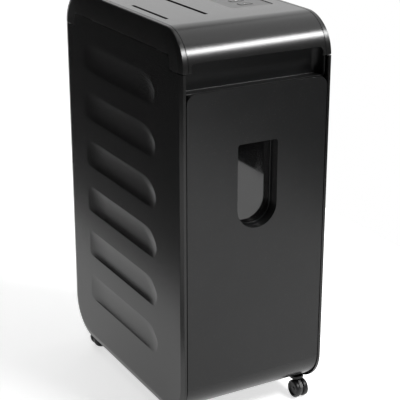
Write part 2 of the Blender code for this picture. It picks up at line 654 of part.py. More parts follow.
def disc_bin():
    """Small bin for disc and card pieces, hooked over the tub's left wall."""
    t = 0.002
    left, right = -FRAME_X + WALL + 0.002, TUB_LEFT - 0.002
    front, back = DISC_SLOT_FRONT - 0.008, DISC_SLOT_FRONT + DISC_SLOT_LENGTH + 0.020
    low, top = TUB_TOP - 0.160, TUB_TOP + 0.003
    holder = box((left, front, low), (right, back, top))
    cut(holder, box((left + t, front + t, low + t), (right - t, back - t, top + 0.01)))
    hook = box((right - t, front + 0.02, TUB_TOP + 0.001), (TUB_LEFT + 0.0065, back - 0.02, top))
    tongue = box((TUB_LEFT + 0.0045, front + 0.02, TUB_TOP - 0.012), (TUB_LEFT + 0.0065, back - 0.02, top))
    join(holder, hook, tongue)
    return named(holder, "disc_bin", BIN_GREY)


# ---------------------------------------------------------------- cutter block
def cutter(name, centre, radius, core, shaft, rings, span, offset, tail):
    """A cutter drum turned in one piece: journals, core and cutting rings.

    span is the rings' range along Y; offset shifts the rings by a share of their pitch.
    """
    low, high = span
    pitch = (high - low) / (rings + 0.5)
    ring = pitch * 0.44
    profile = [(0, PLATE_FRONT_Y - 0.004), (shaft, PLATE_FRONT_Y - 0.004), (shaft, low)]
    for i in range(rings):
        start = low + (i + offset) * pitch + pitch * 0.03
        profile += [(core if i or offset else shaft, start), (radius, start), (radius, start + ring),
                    (core, start + ring)]
    if offset:
        profile.insert(3, (core, low))
    end = high
    profile += [(core, end), (shaft, end), (shaft, tail), (0, tail)]
    obj = turned((centre.x, 0, centre.y), profile, "Y", 11)
    return named(smooth(obj), name, CUTTER_STEEL)


def gear_outline(centre, teeth, module, phase):
    """Outline of a spur gear; phase is the angle of one tooth's middle."""
    pitch_r = teeth * module / 2
    half = math.pi / teeth / 2
    flank = [(pitch_r - 1.15 * module, -1.30), (pitch_r + 0.80 * module, -0.38),
             (pitch_r + 0.80 * module, 0.38), (pitch_r - 1.15 * module, 1.30)]
    points = []
    for tooth in range(teeth):
        middle = phase + 2 * math.pi * tooth / teeth
        for radius, share in flank:
            angle = middle + share * half
            points.append(Vector(centre) + radius * Vector((math.cos(angle), math.sin(angle))))
    return points


def mesh_phase(driver, driver_teeth, driver_phase, driven, driven_teeth):
    """Phase that puts a gap of the driven gear at the driver's tooth on the line of centres."""
    line = math.atan2(driven.y - driver.y, driven.x - driver.x)
    share = (line - driver_phase) * driver_teeth / (2 * math.pi)
    return line + math.pi - (0.5 - share) * 2 * math.pi / driven_teeth


def gear(name, centre, teeth, module, phase, low, bore, mat=GEAR_PLASTIC):
    hole = arc(centre, bore, 0, 360, 12)[:-1]
    obj = extrude("XZ", [gear_outline(centre, teeth, module, phase), hole], low, low + GEAR_WIDTH)
    joint_origin(obj, (centre.x, low, centre.y))
    return named(obj, name, mat)


def idler_centre():
    """Where the idler touches both the left paper gear and the right disc gear, below their line."""
    a, b = PAPER_GEAR_R + IDLER_R, DISC_GEAR_R + IDLER_R
    span = DRUM_LEFT.x - DISC_RIGHT.x
    along = (a * a - b * b + span * span) / (2 * span)
    return Vector((DRUM_LEFT.x - along, CUTTER_Z - math.sqrt(a * a - along * along)))


IDLER = idler_centre()
PHASE_RIGHT = 0.0
PHASE_LEFT = mesh_phase(DRUM_RIGHT, PAPER_TEETH, PHASE_RIGHT, DRUM_LEFT, PAPER_TEETH)
PHASE_IDLER = mesh_phase(DRUM_LEFT, PAPER_TEETH, PHASE_LEFT, IDLER, IDLER_TEETH)
PHASE_DISC_RIGHT = mesh_phase(IDLER, IDLER_TEETH, PHASE_IDLER, DISC_RIGHT, DISC_TEETH)
PHASE_DISC_LEFT = mesh_phase(DISC_RIGHT, DISC_TEETH, PHASE_DISC_RIGHT, DISC_LEFT, DISC_TEETH)
PHASE_SMALL = mesh_phase(DRUM_RIGHT, DRIVE_TEETH, 0.0, REDUCTION, REDUCTION_SMALL_TEETH)
PHASE_MOTOR = mesh_phase(REDUCTION, REDUCTION_LARGE_TEETH, 0.0, MOTOR, MOTOR_TEETH)


def holes_for(shafts):
    return [arc(centre, radius + BEARING_GAP, 0, 360, 14)[:-1] for centre, radius in shafts]


def cutter_plates():
    shafts = [(DRUM_LEFT, SHAFT_R), (DRUM_RIGHT, SHAFT_R), (DISC_LEFT, DISC_SHAFT_R),
              (DISC_RIGHT, DISC_SHAFT_R)]
    low, top = SHELF_TOP + FIT, CUTTER_Z + 0.034
    left = -INNER_X + 0.002
    right = DRUM_RIGHT.x + DRUM_R + 0.006
    outline = box_outline(left, low, right, top, 0.003)
    front = extrude("XZ", [outline] + holes_for(shafts), PLATE_FRONT_Y, PLATE_FRONT_Y + PLATE)
    named(front, "cutter_plate_front", STEEL)
    shafts += [(IDLER, IDLER_PIN_R), (REDUCTION, REDUCTION_PIN_R), (MOTOR, MOTOR_SHAFT_R)]
    outline = box_outline(left, low, MOTOR.x + MOTOR_R + 0.004, top, 0.003)
    rear = extrude("XZ", [outline] + holes_for(shafts), PLATE_REAR_Y, PLATE_REAR_Y + PLATE)
    named(rear, "cutter_plate_rear", STEEL)


def tie_bars():
    places = (("tie_bar_left", DRUM_LEFT.x - DRUM_R - 0.0065), ("tie_bar_right", DRUM_RIGHT.x + DRUM_R))
    for name, x in places:
        bar = cylinder("XZ", (x, CUTTER_Z - 0.026), 0.004, -CUTTER_HALF + 0.0004, CUTTER_HALF - 0.0004, 16)
        named(smooth(bar), name, STEEL)


def stripper_comb(side, name, centre, offset):
    """Comb whose fingers lie between the rings of one drum and keep shreds from wrapping round."""
    pitch = 2 * CUTTER_HALF / (CUTTER_RINGS + 0.5)
    spine = centre.x + side * (DRUM_R + 0.001)
    back = spine + side * 0.004
    reach = centre.x + side * (DRUM_CORE_R + 0.001)
    finger = pitch * 0.40
    points = [Vector((back, -CUTTER_HALF + 0.001)), Vector((spine, -CUTTER_HALF + 0.001))]
    for i in range(CUTTER_RINGS - 1):
        gap = -CUTTER_HALF + (i + offset + 0.75) * pitch
        points += [Vector((spine, gap - finger / 2)), Vector((reach, gap - finger / 2)),
                   Vector((reach, gap + finger / 2)), Vector((spine, gap + finger / 2))]
    points += [Vector((spine, CUTTER_HALF - 0.001)), Vector((back, CUTTER_HALF - 0.001))]
    comb = extrude("XY", [points], CUTTER_Z - 0.003, CUTTER_Z + 0.003)
    return named(comb, name, STEEL)


def gear_train():
    bore, disc_bore = SHAFT_R + 0.0003, DISC_SHAFT_R + 0.0003
    gear("paper_gear_right", DRUM_RIGHT, PAPER_TEETH, GEAR_MODULE, PHASE_RIGHT, FIRST_GEAR_Y, bore)
    gear("paper_gear_left", DRUM_LEFT, PAPER_TEETH, GEAR_MODULE, PHASE_LEFT, FIRST_GEAR_Y, bore)
    gear("disc_gear_right", DISC_RIGHT, DISC_TEETH, GEAR_MODULE, PHASE_DISC_RIGHT, FIRST_GEAR_Y, disc_bore)
    gear("disc_gear_left", DISC_LEFT, DISC_TEETH, GEAR_MODULE, PHASE_DISC_LEFT, FIRST_GEAR_Y, disc_bore)
    gear("drive_gear", DRUM_RIGHT, DRIVE_TEETH, REDUCTION_MODULE, 0.0, DRIVE_GEAR_Y, bore)

    idler = extrude("XZ", [gear_outline(IDLER, IDLER_TEETH, GEAR_MODULE, PHASE_IDLER)],
                    FIRST_GEAR_Y, FIRST_GEAR_Y + GEAR_WIDTH)
    join(idler, cylinder("XZ", IDLER, IDLER_PIN_R, PLATE_REAR_Y - 0.002, GEARBOX_BACK - 0.003, 10))
    joint_origin(idler, (IDLER.x, FIRST_GEAR_Y, IDLER.y))
    named(idler, "idler_gear", GEAR_PLASTIC)

    reduction = extrude("XZ", [gear_outline(REDUCTION, REDUCTION_SMALL_TEETH, REDUCTION_MODULE, PHASE_SMALL)],
                        DRIVE_GEAR_Y, MOTOR_GEAR_Y + 0.001)
    join(reduction, extrude("XZ", [gear_outline(REDUCTION, REDUCTION_LARGE_TEETH, REDUCTION_MODULE, 0.0)],
                            MOTOR_GEAR_Y, MOTOR_GEAR_Y + GEAR_WIDTH))
    pin = cylinder("XZ", REDUCTION, REDUCTION_PIN_R, PLATE_REAR_Y - 0.002, GEARBOX_BACK - 0.003, 10)
    join(reduction, pin)
    joint_origin(reduction, (REDUCTION.x, DRIVE_GEAR_Y, REDUCTION.y))
    named(reduction, "reduction_gear", GEAR_PLASTIC)


def motor():
    """Motor body bolted to the rear plate, its shaft with the pinion, and its cooling fan."""
    high = PLATE_REAR_Y - FIT
    low = high - MOTOR_LENGTH
    r, bore = MOTOR_R, MOTOR_SHAFT_R + BEARING_GAP
    profile = [(bore, low), (r - 0.006, low), (r - 0.002, low + 0.004), (r, low + 0.004), (r, high - 0.010),
               (r - 0.004, high - 0.008), (r - 0.004, high), (bore, high), (bore, low)]
    body = turned((MOTOR.x, 0, MOTOR.y), profile, "Y", 20)
    named(smooth(body), "motor_body", STEEL)

    shaft = extrude("XZ", [gear_outline(MOTOR, MOTOR_TEETH, REDUCTION_MODULE, PHASE_MOTOR)],
                    MOTOR_GEAR_Y, MOTOR_GEAR_Y + GEAR_WIDTH)
    join(shaft, cylinder("XZ", MOTOR, MOTOR_SHAFT_R, low - 0.016, MOTOR_GEAR_Y + GEAR_WIDTH + 0.001, 10))
    joint_origin(shaft, (MOTOR.x, MOTOR_GEAR_Y, MOTOR.y))
    named(shaft, "motor_pinion", CUTTER_STEEL)

    fan_low, fan_high = low - 0.014, low - 0.004
    hub = arc(MOTOR, MOTOR_SHAFT_R + 0.0004, 0, 360, 12)[:-1]
    fan = extrude("XZ", [arc(MOTOR, 0.010, 0, 360, 14)[:-1], hub], fan_low, fan_high)
    for blade in range(7):
        vane = box((0.008, -0.001, 0.0), (MOTOR_R - 0.003, 0.001, 0.008))
        vane.data.transform(Matrix.Rotation(math.radians(90), 4, "X"))
        vane.matrix_world = (Matrix.Translation((MOTOR.x, fan_high - 0.001, MOTOR.y))
                             @ Matrix.Rotation(2 * math.pi * blade / 7, 4, "Y"))
        join(fan, vane)
    joint_origin(fan, (MOTOR.x, fan_low, MOTOR.y))
    named(fan, "motor_fan", INNER_BLACK)


def gearbox_cover():
    """Box that is open towards the rear plate and shields the gears."""
    low, high = PLATE_REAR_Y + PLATE + FIT, GEARBOX_BACK
    left, right = -INNER_X + 0.001, MOTOR.x + MOTOR_R + 0.004
    bottom, top = SHELF_TOP + FIT, CUTTER_Z + 0.036
    t = 0.0018
    shield = box((left, low, bottom), (right, high, top))
    cut(shield, box((left + t, low - 0.01, bottom + t), (right - t, high - 0.002, top - t)))
    for centre, radius in ((IDLER, IDLER_PIN_R), (REDUCTION, REDUCTION_PIN_R)):
        cut(shield, cylinder("XZ", centre, radius + BEARING_GAP, high - 0.01, high + 0.01, 20))
    return named(shield, "gearbox_cover", INNER_BLACK)


# ---------------------------------------------------------------- throat, panel and electrics
def guide(name, x, front, back, low, slot):
    """Throat that leads from a slot in the cover down to its cutters."""
    wall = 0.0025
    half = slot / 2
    outside = box_outline(x - half - wall, front - wall, x + half + wall, back + wall, 0.002)
    inside = box_outline(x - half, front, x + half, back, 0.0015)
    body = extrude("XY", [outside, inside], low, COVER_UNDER - FIT)
    return named(body, name, INNER_BLACK)


def control_panel():
    """Sunk panel with a flange below the cover and holes for the buttons."""
    a, b = PANEL_SIZE[0] / 2, PANEL_SIZE[1] / 2
    face = box_outline(PANEL_X - a, PANEL_Y - b, PANEL_X + a, PANEL_Y + b, 0.0055)
    a, b = a + 0.004, b + 0.004
    flange = box_outline(PANEL_X - a, PANEL_Y - b, PANEL_X + a, PANEL_Y + b, 0.008)
    panel = extrude("XY", [face], TOP - 0.0045, TOP - 0.0008)
    join(panel, extrude("XY", [flange], COVER_UNDER - FIT - 0.002, COVER_UNDER - FIT))
    w, l = BUTTON_SIZE[0] / 2 + 0.0004, BUTTON_SIZE[1] / 2 + 0.0004
    for y in BUTTON_YS:
        cut(panel, extrude("XY", [box_outline(PANEL_X - w, y - l, PANEL_X + w, y + l, 0.003)],
                           TOP - 0.02, TOP + 0.01))
    return named(panel, "control_panel", SWITCH_BLACK)


def buttons():
    """Caps that travel down through the panel; a foot below the panel keeps each one in."""
    w, l = BUTTON_SIZE[0] / 2, BUTTON_SIZE[1] / 2
    under = COVER_UNDER - FIT - 0.002
    for name, y in zip(("power_button", "reverse_button", "forward_button"), BUTTON_YS):
        cap = extrude("XY", [box_outline(PANEL_X - w, y - l, PANEL_X + w, y + l, 0.0027)],
                      under - 0.002, TOP - 0.0002)
        foot = box_outline(PANEL_X - w - 0.0015, y - l - 0.0015, PANEL_X + w + 0.0015, y + l + 0.0015, 0.003)
        join(cap, extrude("XY", [foot], under - 0.003, under - 0.0006))
        joint_origin(cap, (PANEL_X, y, TOP))
        named(cap, name, SATIN_BLACK)


def circuit_board():
    x, y = PANEL_X, PANEL_FRONT + 0.060
    top = COVER_UNDER - 0.0095
    board = box((x - 0.036, y - 0.050, top - 0.0016), (x + 0.036, y + 0.050, top))
    relay = box((x - 0.030, y + 0.020, top - 0.008), (x - 0.012, y + 0.036, top - 0.001))
    capacitor = cylinder("XY", (x + 0.015, y + 0.030), 0.006, top - 0.010, top - 0.001, 16)
    join(board, relay, capacitor)
    return named(board, "circuit_board", BOARD_GREEN)


def electrics():
    sensor_x = PAPER_X + PAPER_SLOT_WIDTH / 2 + 0.0025 + FIT
    sensor = box((sensor_x, -0.008, COVER_UNDER - 0.022),
                 (sensor_x + 0.006, 0.008, COVER_UNDER - 0.008), 0.001)
    named(sensor, "paper_sensor", SWITCH_BLACK)
    x, y = INNER_X - 0.030, RECESS_BACK + 0.020
    interlock = box((x - 0.007, y, SHELF_Z - FIT - 0.012), (x + 0.007, y + 0.024, SHELF_Z - FIT), 0.001)
    named(interlock, "interlock_switch", SWITCH_BLACK)

    w, h = INLET_SIZE[0] / 2, INLET_SIZE[1] / 2
    face = HALF_Y - 0.002
    inlet = extrude("XZ", [box_outline(INLET.x - w, INLET.y - h, INLET.x + w, INLET.y + h, 0.0025)],
                    face - 0.022, face)
    socket = rounded([(INLET.x - 0.010, INLET.y - 0.007, 0.001), (INLET.x + 0.010, INLET.y - 0.007, 0.001),
                      (INLET.x + 0.010, INLET.y + 0.004, 0.003), (INLET.x + 0.006, INLET.y + 0.008, 0.001),
                      (INLET.x - 0.006, INLET.y + 0.008, 0.001), (INLET.x - 0.010, INLET.y + 0.004, 0.003)])
    cut(inlet, extrude("XZ", [socket], face - 0.016, face + 0.01))
    named(inlet, "power_inlet", SWITCH_BLACK)

    w, h = SWITCH_SIZE[0] / 2, SWITCH_SIZE[1] / 2
    pivot = HALF_Y - 0.0045
    tilt = math.radians(7)
    lift = math.tan(tilt) * (h - 0.002)
    rocker = [Vector((pivot, -h + 0.002)), Vector((pivot + 0.0005 + lift, -h + 0.002)),
              Vector((pivot + 0.0005, 0)), Vector((pivot + 0.0005 + lift, h - 0.002)),
              Vector((pivot, h - 0.002)), Vector((pivot - 0.010, 0.004)), Vector((pivot - 0.010, -0.004))]
    centre, turn = Vector((pivot, 0)), Matrix.Rotation(tilt, 2)
    turned_off = [turn @ (p - centre) + Vector((pivot, SWITCH.y)) for p in rocker]
    switch = extrude("YZ", [turned_off], SWITCH.x - w + FIT, SWITCH.x + w - FIT)
    joint_origin(switch, (SWITCH.x, pivot, SWITCH.y))
    named(switch, "rocker_switch", SWITCH_BLACK)


# ---------------------------------------------------------------- casters
def caster(name, x, y, heading):
    """Twin-wheel caster: a hood that swivels on its stem and a wheel pair on one axle.

    heading turns the caster about its stem; at 0 the wheels lie in front of it, towards -Y.
    """
    pose = Matrix.Translation((x, y, 0)) @ Matrix.Rotation(heading, 4, "Z")
    axle = (-CASTER_TRAIL, WHEEL_R)
    web = arc(axle, WHEEL_R - 0.003, -180, 0, 8)
    web_top = BOTTOM - 0.0006
    web += [Vector((0.006, BOTTOM - 0.006)), Vector((0.004, web_top)), Vector((-0.012, web_top)),
            Vector((axle[0] - WHEEL_R + 0.003, WHEEL_R + 0.006))]
    hood = extrude("YZ", [web, arc(axle, AXLE_R + BEARING_GAP, 0, 360, 12)[:-1]], -WEB / 2, WEB / 2)
    wheel_top = 2 * WHEEL_R + 0.0002
    stem = cylinder("XY", (0, 0), CASTER_STEM_R, wheel_top + 0.0002, BASE_Z + BASE_T + 0.0005, 12)
    stem_collar = cylinder("XY", (0, 0), CASTER_STEM_R + 0.004, wheel_top, BASE_Z - BEARING_GAP, 12)
    for piece in (hood, stem, stem_collar):
        piece.matrix_world = pose
    join(hood, stem_collar, stem)
    named(hood, "caster_hood_" + name, SWITCH_BLACK)

    w, half = CASTER_WIDTH / 2, WEB / 2 + 0.0005
    r = WHEEL_R
    side = [(0, -w), (r - 0.003, -w), (r - 0.0008, -w + 0.0015), (r, -w + 0.004), (r, -half), (AXLE_R, -half)]
    profile = side + [(radius, -along) for radius, along in reversed(side)]
    wheels = turned((0, 0, 0), profile, "X", 20)
    wheels.matrix_world = (pose @ Matrix.Translation((0, -CASTER_TRAIL, WHEEL_R))
                           @ Matrix.Rotation(math.pi / 2, 4, "Y"))
    named(smooth(wheels), "caster_wheels_" + name, TYRE_GREY)


# ---------------------------------------------------------------- assembly
side_panel(-1, "side_panel_left")
side_panel(1, "side_panel_right")
head_arch(-1, "head_arch_left")
head_arch(1, "head_arch_right")
top_cover()
recess_fascia()
back_panel()
base_tray()
mechanism_shelf()
drawer_rail(-1, "drawer_rail_left")
drawer_rail(1, "drawer_rail_right")

drawer_front()
window_pane()
drawer_frame()
bin_tub()
disc_bin()

SPAN = (-CUTTER_HALF + 0.001, CUTTER_HALF - 0.001)
DISC_SPAN = (DISC_SLOT_FRONT + 0.004, DISC_SLOT_FRONT + DISC_SLOT_LENGTH)
DRUM_TAIL = DRIVE_GEAR_Y + GEAR_WIDTH + 0.001
DISC_TAIL = FIRST_GEAR_Y + GEAR_WIDTH + 0.001
PAPER_RADII = (DRUM_R, DRUM_CORE_R, SHAFT_R)
DISC_RADII = (DISC_R, DISC_CORE_R, DISC_SHAFT_R)
cutter("paper_cutter_left", DRUM_LEFT, *PAPER_RADII, CUTTER_RINGS, SPAN, 0.0, DISC_TAIL)
cutter("paper_cutter_right", DRUM_RIGHT, *PAPER_RADII, CUTTER_RINGS, SPAN, 0.5, DRUM_TAIL)
cutter("disc_cutter_left", DISC_LEFT, *DISC_RADII, DISC_RINGS, DISC_SPAN, 0.0, DISC_TAIL)
cutter("disc_cutter_right", DISC_RIGHT, *DISC_RADII, DISC_RINGS, DISC_SPAN, 0.5, DISC_TAIL)
cutter_plates()
tie_bars()
stripper_comb(-1, "stripper_comb_left", DRUM_LEFT, 0.0)
stripper_comb(1, "stripper_comb_right", DRUM_RIGHT, 0.5)
gear_train()
motor()
gearbox_cover()

guide("paper_guide", PAPER_X, -PAPER_SLOT_LENGTH / 2, PAPER_SLOT_LENGTH / 2, CUTTER_Z + DRUM_R + 0.002,
      PAPER_SLOT_WIDTH)
guide("disc_guide", DISC_X, DISC_SLOT_FRONT, DISC_SLOT_FRONT + DISC_SLOT_LENGTH, CUTTER_Z + DISC_R + 0.002,
      DISC_SLOT_WIDTH)
control_panel()
buttons()
circuit_board()
electrics()

caster("front_left", -STEM_X, -STEM_Y, math.radians(25))
caster("front_right", STEM_X, -STEM_Y, 0.0)
caster("rear_left", -STEM_X, STEM_Y, math.radians(90))
caster("rear_right", STEM_X, STEM_Y, math.radians(210))
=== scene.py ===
# %% [markdown]
# # A paper shredder in its finishes
# The machine is a tower on four casters: a cabinet, a drawer with a window, and a cutter head on top.
# The engineering model gives every solid its place. This notebook gives the solids that can be seen
# their fine shape and their material, and then sets up a small studio round them.
# Everything is in metres, so a piece is made straight at its place and never moved afterwards.

# %% Load the frame
import json
import math

import bmesh
import bpy
from mathutils import Matrix, Vector

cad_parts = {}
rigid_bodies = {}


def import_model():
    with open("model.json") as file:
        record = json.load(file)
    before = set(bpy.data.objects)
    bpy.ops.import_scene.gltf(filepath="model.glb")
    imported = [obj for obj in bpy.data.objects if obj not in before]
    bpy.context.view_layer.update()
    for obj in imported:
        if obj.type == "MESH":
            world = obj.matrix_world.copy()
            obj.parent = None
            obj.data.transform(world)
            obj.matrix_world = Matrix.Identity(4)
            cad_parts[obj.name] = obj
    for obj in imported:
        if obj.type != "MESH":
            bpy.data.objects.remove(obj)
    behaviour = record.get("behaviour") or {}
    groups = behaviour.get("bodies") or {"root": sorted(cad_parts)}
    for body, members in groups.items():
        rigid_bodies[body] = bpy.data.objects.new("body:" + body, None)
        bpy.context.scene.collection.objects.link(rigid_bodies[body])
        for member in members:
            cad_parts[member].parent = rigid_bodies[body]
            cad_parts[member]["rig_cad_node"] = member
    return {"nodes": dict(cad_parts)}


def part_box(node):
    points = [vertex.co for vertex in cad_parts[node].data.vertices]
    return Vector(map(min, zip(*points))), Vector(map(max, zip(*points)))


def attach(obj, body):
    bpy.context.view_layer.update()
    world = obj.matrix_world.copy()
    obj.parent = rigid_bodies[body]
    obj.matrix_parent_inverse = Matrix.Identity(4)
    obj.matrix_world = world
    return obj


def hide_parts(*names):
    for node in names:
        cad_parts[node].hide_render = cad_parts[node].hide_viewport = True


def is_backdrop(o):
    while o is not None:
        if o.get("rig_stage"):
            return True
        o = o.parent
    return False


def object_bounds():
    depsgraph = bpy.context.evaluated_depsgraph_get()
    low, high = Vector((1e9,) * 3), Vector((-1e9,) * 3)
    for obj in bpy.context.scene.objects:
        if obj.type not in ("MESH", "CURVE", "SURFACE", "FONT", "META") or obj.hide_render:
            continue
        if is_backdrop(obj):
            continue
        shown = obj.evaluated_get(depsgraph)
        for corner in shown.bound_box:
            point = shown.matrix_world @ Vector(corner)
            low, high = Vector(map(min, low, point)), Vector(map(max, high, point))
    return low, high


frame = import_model()
cad_low, cad_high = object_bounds()
nodes = frame["nodes"]
print("size in mm:", [round(v * 1000, 1) for v in cad_high - cad_low])

# %% [markdown]
# ## The camera
# It is made first, because every later choice is judged through it. A long lens from a good two metres
# keeps the upright edges nearly parallel, as a maker's picture does. The camera looks down by 20 degrees
# at the machine's left side and front.

# %% Camera
CAMERA_PLACE = (-0.9964, -1.8185, 1.1155)
CAMERA_TURN, CAMERA_DOWN = -29.137, 20.396

lens = bpy.data.cameras.new("studio_camera")
lens.lens, lens.sensor_width = 109.37, 36.0
camera = bpy.data.objects.new("studio_camera", lens)
camera.location = CAMERA_PLACE
camera.rotation_euler = (math.radians(90 - CAMERA_DOWN), 0, math.radians(CAMERA_TURN))
bpy.context.scene.collection.objects.link(camera)
bpy.context.scene.camera = camera
print("camera:", round((Vector(CAMERA_PLACE) - (cad_low + cad_high) / 2).length, 3), "m from the machine")

# %% [markdown]
# ## Shader sums in Python
# A material is a small network of nodes. Writing the network by hand hides the idea behind it, so one
# class wraps a socket and lets Python's own signs add the Math nodes: `1 - dust * 0.3` reads as it works.
# Every other node comes from the method `node`. It takes the node's type, then its settings, and then
# what goes into its sockets.


# %% A socket that can be calculated with
class Wire:
    """One socket of a node tree. Sums with numbers or other wires add Math nodes."""

    def __init__(self, tree, socket=None):
        self.tree = tree
        self.socket = socket

    def node(self, kind, settings=None, inputs=None, output=0):
        made = self.tree.nodes.new("ShaderNode" + kind)
        for name, value in (settings or {}).items():
            if name == "stops":
                ramp = made.color_ramp
                for spare in range(len(value) - len(ramp.elements)):
                    ramp.elements.new(1.0)
                for stop, (position, colour) in zip(ramp.elements, value):
                    stop.position, stop.color = position, colour
            else:
                setattr(made, name, value)
        for key, value in (inputs or {}).items():
            if isinstance(value, Wire):
                self.tree.links.new(value.socket, made.inputs[key])
            else:
                made.inputs[key].default_value = value
        made.location = (len(self.tree.nodes) * 60 - 1600, (len(self.tree.nodes) % 6) * 180)
        return Wire(self.tree, made.outputs[output])

    def sum(self, operation, first, second):
        return self.node("Math", {"operation": operation}, {0: first, 1: second})

    def __add__(self, other):
        return self.sum("ADD", self, other)

    def __sub__(self, other):
        return self.sum("SUBTRACT", self, other)

    def __rsub__(self, other):
        return self.sum("SUBTRACT", other, self)

    def __mul__(self, other):
        return self.sum("MULTIPLY", self, other)

    __radd__ = __add__
    __rmul__ = __mul__

    def step(self, low, high):
        """0 below low, 1 above high, and a soft step between them."""
        return self.node("MapRange", {"interpolation_type": "SMOOTHSTEP"},
                         {"Value": self, "From Min": low, "From Max": high})

    def tint(self, colour, other):
        """The first colour where this wire is 0 and the other where it is 1."""
        return self.node("Mix", {"data_type": "RGBA"}, {0: self, 6: colour, 7: other}, 2)

    def noise(self, scale, detail=2.0, stretch=(1, 1, 1)):
        """Noise whose patches are about 1/scale metres across."""
        place = self.node("TexCoord", output="Object")
        spread = self.node("VectorMath", {"operation": "MULTIPLY"}, {0: place, 1: stretch})
        return self.node("TexNoise", {}, {"Vector": spread, "Scale": scale, "Detail": detail})


def grey(level, warm=0.0):
    """A nearly neutral colour from its brightness in linear light; warm leans it to red."""
    return (level * (1 + warm), level, level * (1 - warm), 1.0)


def new_finish(name, **constants):
    """A material, a wire on its tree, and its shader with the constant sockets set."""
    material = bpy.data.materials.new(name)
    material.use_nodes = True
    shader = material.node_tree.nodes["Principled BSDF"]
    for socket, value in constants.items():
        shader.inputs[socket.replace("_", " ")].default_value = value
    return material, Wire(material.node_tree), shader


def feed(wire, shader, **sockets):
    """Links wires to the shader's sockets."""
    for socket, value in sockets.items():
        wire.tree.links.new(value.socket, shader.inputs[socket.replace("_", " ")])


print("shader helpers ready")

# %% [markdown]
# ## Moulded plastic
# Nearly everything that shows is injection-moulded plastic. Its surface copies the steel of the mould,
# which was etched to a fine grain, so a close look finds tiny bumps of about half a millimetre. The
# colour is dyed through and varies very little. What varies is the gloss: hands polish it, dust dulls it,
# and the edges wear smooth and look a touch lighter. One function makes all of these plastics, and each
# gets its own colour, gloss and grain. The Bevel node finds the edges: where the rounded normal leaves
# the true one, there is an edge.


# %% Moulded plastics
def edge_mask(wire, reach):
    """1 along the edges of a shape and 0 on its faces."""
    rounded_normal = wire.node("Bevel", {"samples": 4}, {"Radius": reach})
    true_normal = wire.node("NewGeometry", output="Normal")
    match = wire.node("VectorMath", {"operation": "DOT_PRODUCT"}, {0: rounded_normal, 1: true_normal}, 1)
    return (1 - match).step(0.005, 0.10)


def moulded_plastic(name, level, roughness, grain=0.12, pitch=0.0006, wear=0.5, warm=0.0, dust=0.010, **more):
    material, wire, shader = new_finish(name, **more)
    flow = wire.noise(9, 3)
    cloud = wire.noise(34, 4)
    grains = wire.noise(1 / pitch, 2)
    specks = wire.noise(900, 1).step(0.71, 0.76)
    edges = edge_mask(wire, 0.0012)
    body = (flow * 0.6 + cloud * 0.4).step(0.3, 0.7).tint(grey(level * 0.94, warm), grey(level * 1.06, warm))
    worn = (edges * wear).tint(body, grey(level * 1.7 + 0.01, warm))
    dusty = (specks * cloud * dust * 30).tint(worn, grey(0.22, 0.04))
    gloss = roughness + (cloud - 0.5) * 0.02 + (grains - 0.5) * 0.04 - edges * 0.06
    relief = wire.node("Bump", {}, {"Strength": grain, "Distance": 0.0002, "Height": grains})
    feed(wire, shader, Base_Color=dusty, Roughness=gloss, Normal=relief)
    return material


SATIN_BLACK = moulded_plastic("satin_black", 0.0070, 0.25, 0.08, Specular_IOR_Level=0.35)
HEAD_BLACK = moulded_plastic("head_satin_black", 0.0090, 0.28, 0.08)
GLOSS_BLACK = moulded_plastic("brushed_gloss_black", 0.0120, 0.22, 0.05, wear=0.3)
DRAWER_GREY = moulded_plastic("drawer_grey", 0.011, 0.26, 0.12, warm=-0.02, Specular_IOR_Level=0.27)
INNER_BLACK = moulded_plastic("inner_black", 0.008, 0.40, 0.25, pitch=0.0010, wear=0.2, warm=-0.03,
                              Specular_IOR_Level=0.28)
SWITCH_BLACK = moulded_plastic("switch_black", 0.013, 0.30, 0.08, pitch=0.0004)
BIN_GREY = moulded_plastic("bin_grey", 0.085, 0.45, 0.22, pitch=0.0009)
CASTER_NYLON = moulded_plastic("caster_nylon", 0.010, 0.40, 0.18, dust=0.01, Specular_IOR_Level=0.35)
GEAR_NYLON = moulded_plastic("gear_nylon", 0.62, 0.40, 0.05, wear=0.1, warm=0.05, dust=0.0)
print("plastics:", len(bpy.data.materials))

# %% [markdown]
# ## The smoked window
# The window is clear acrylic dyed dark. Light that enters it is mostly lost, so from outside it works
# as a dark mirror and shows the paper behind it only in a bright room. A little alpha keeps the bin
# faintly visible, and the gloss has the faint haze that wiping leaves.


# %% Smoked acrylic
def smoked_acrylic():
    material, wire, shader = new_finish("smoked_acrylic", IOR=1.49, Coat_Weight=0.3, Coat_Roughness=0.02)
    haze = wire.noise(55, 5, (1, 1, 0.25)).step(0.45, 0.75)
    fine = wire.noise(420, 2)
    gloss = 0.035 + haze * 0.05
    colour = fine.tint(grey(0.0045), grey(0.0060, -0.03))
    alpha = 0.90 + haze * 0.03
    relief = wire.node("Bump", {}, {"Strength": 0.03, "Distance": 0.0003, "Height": wire.noise(25, 1)})
    feed(wire, shader, Base_Color=colour, Roughness=gloss, Alpha=alpha, Normal=relief)
    return material


SMOKED = smoked_acrylic()
print("window:", SMOKED.name)

# %% [markdown]
# ## Metals
# Sheet steel is zinc-plated: its crystals make patches of slightly different grey, which a Voronoi
# texture gives. Turned and ground steel shows lines along the cut instead, so its noise is stretched.
# The printed circuit board and the white ink have their own small recipes.


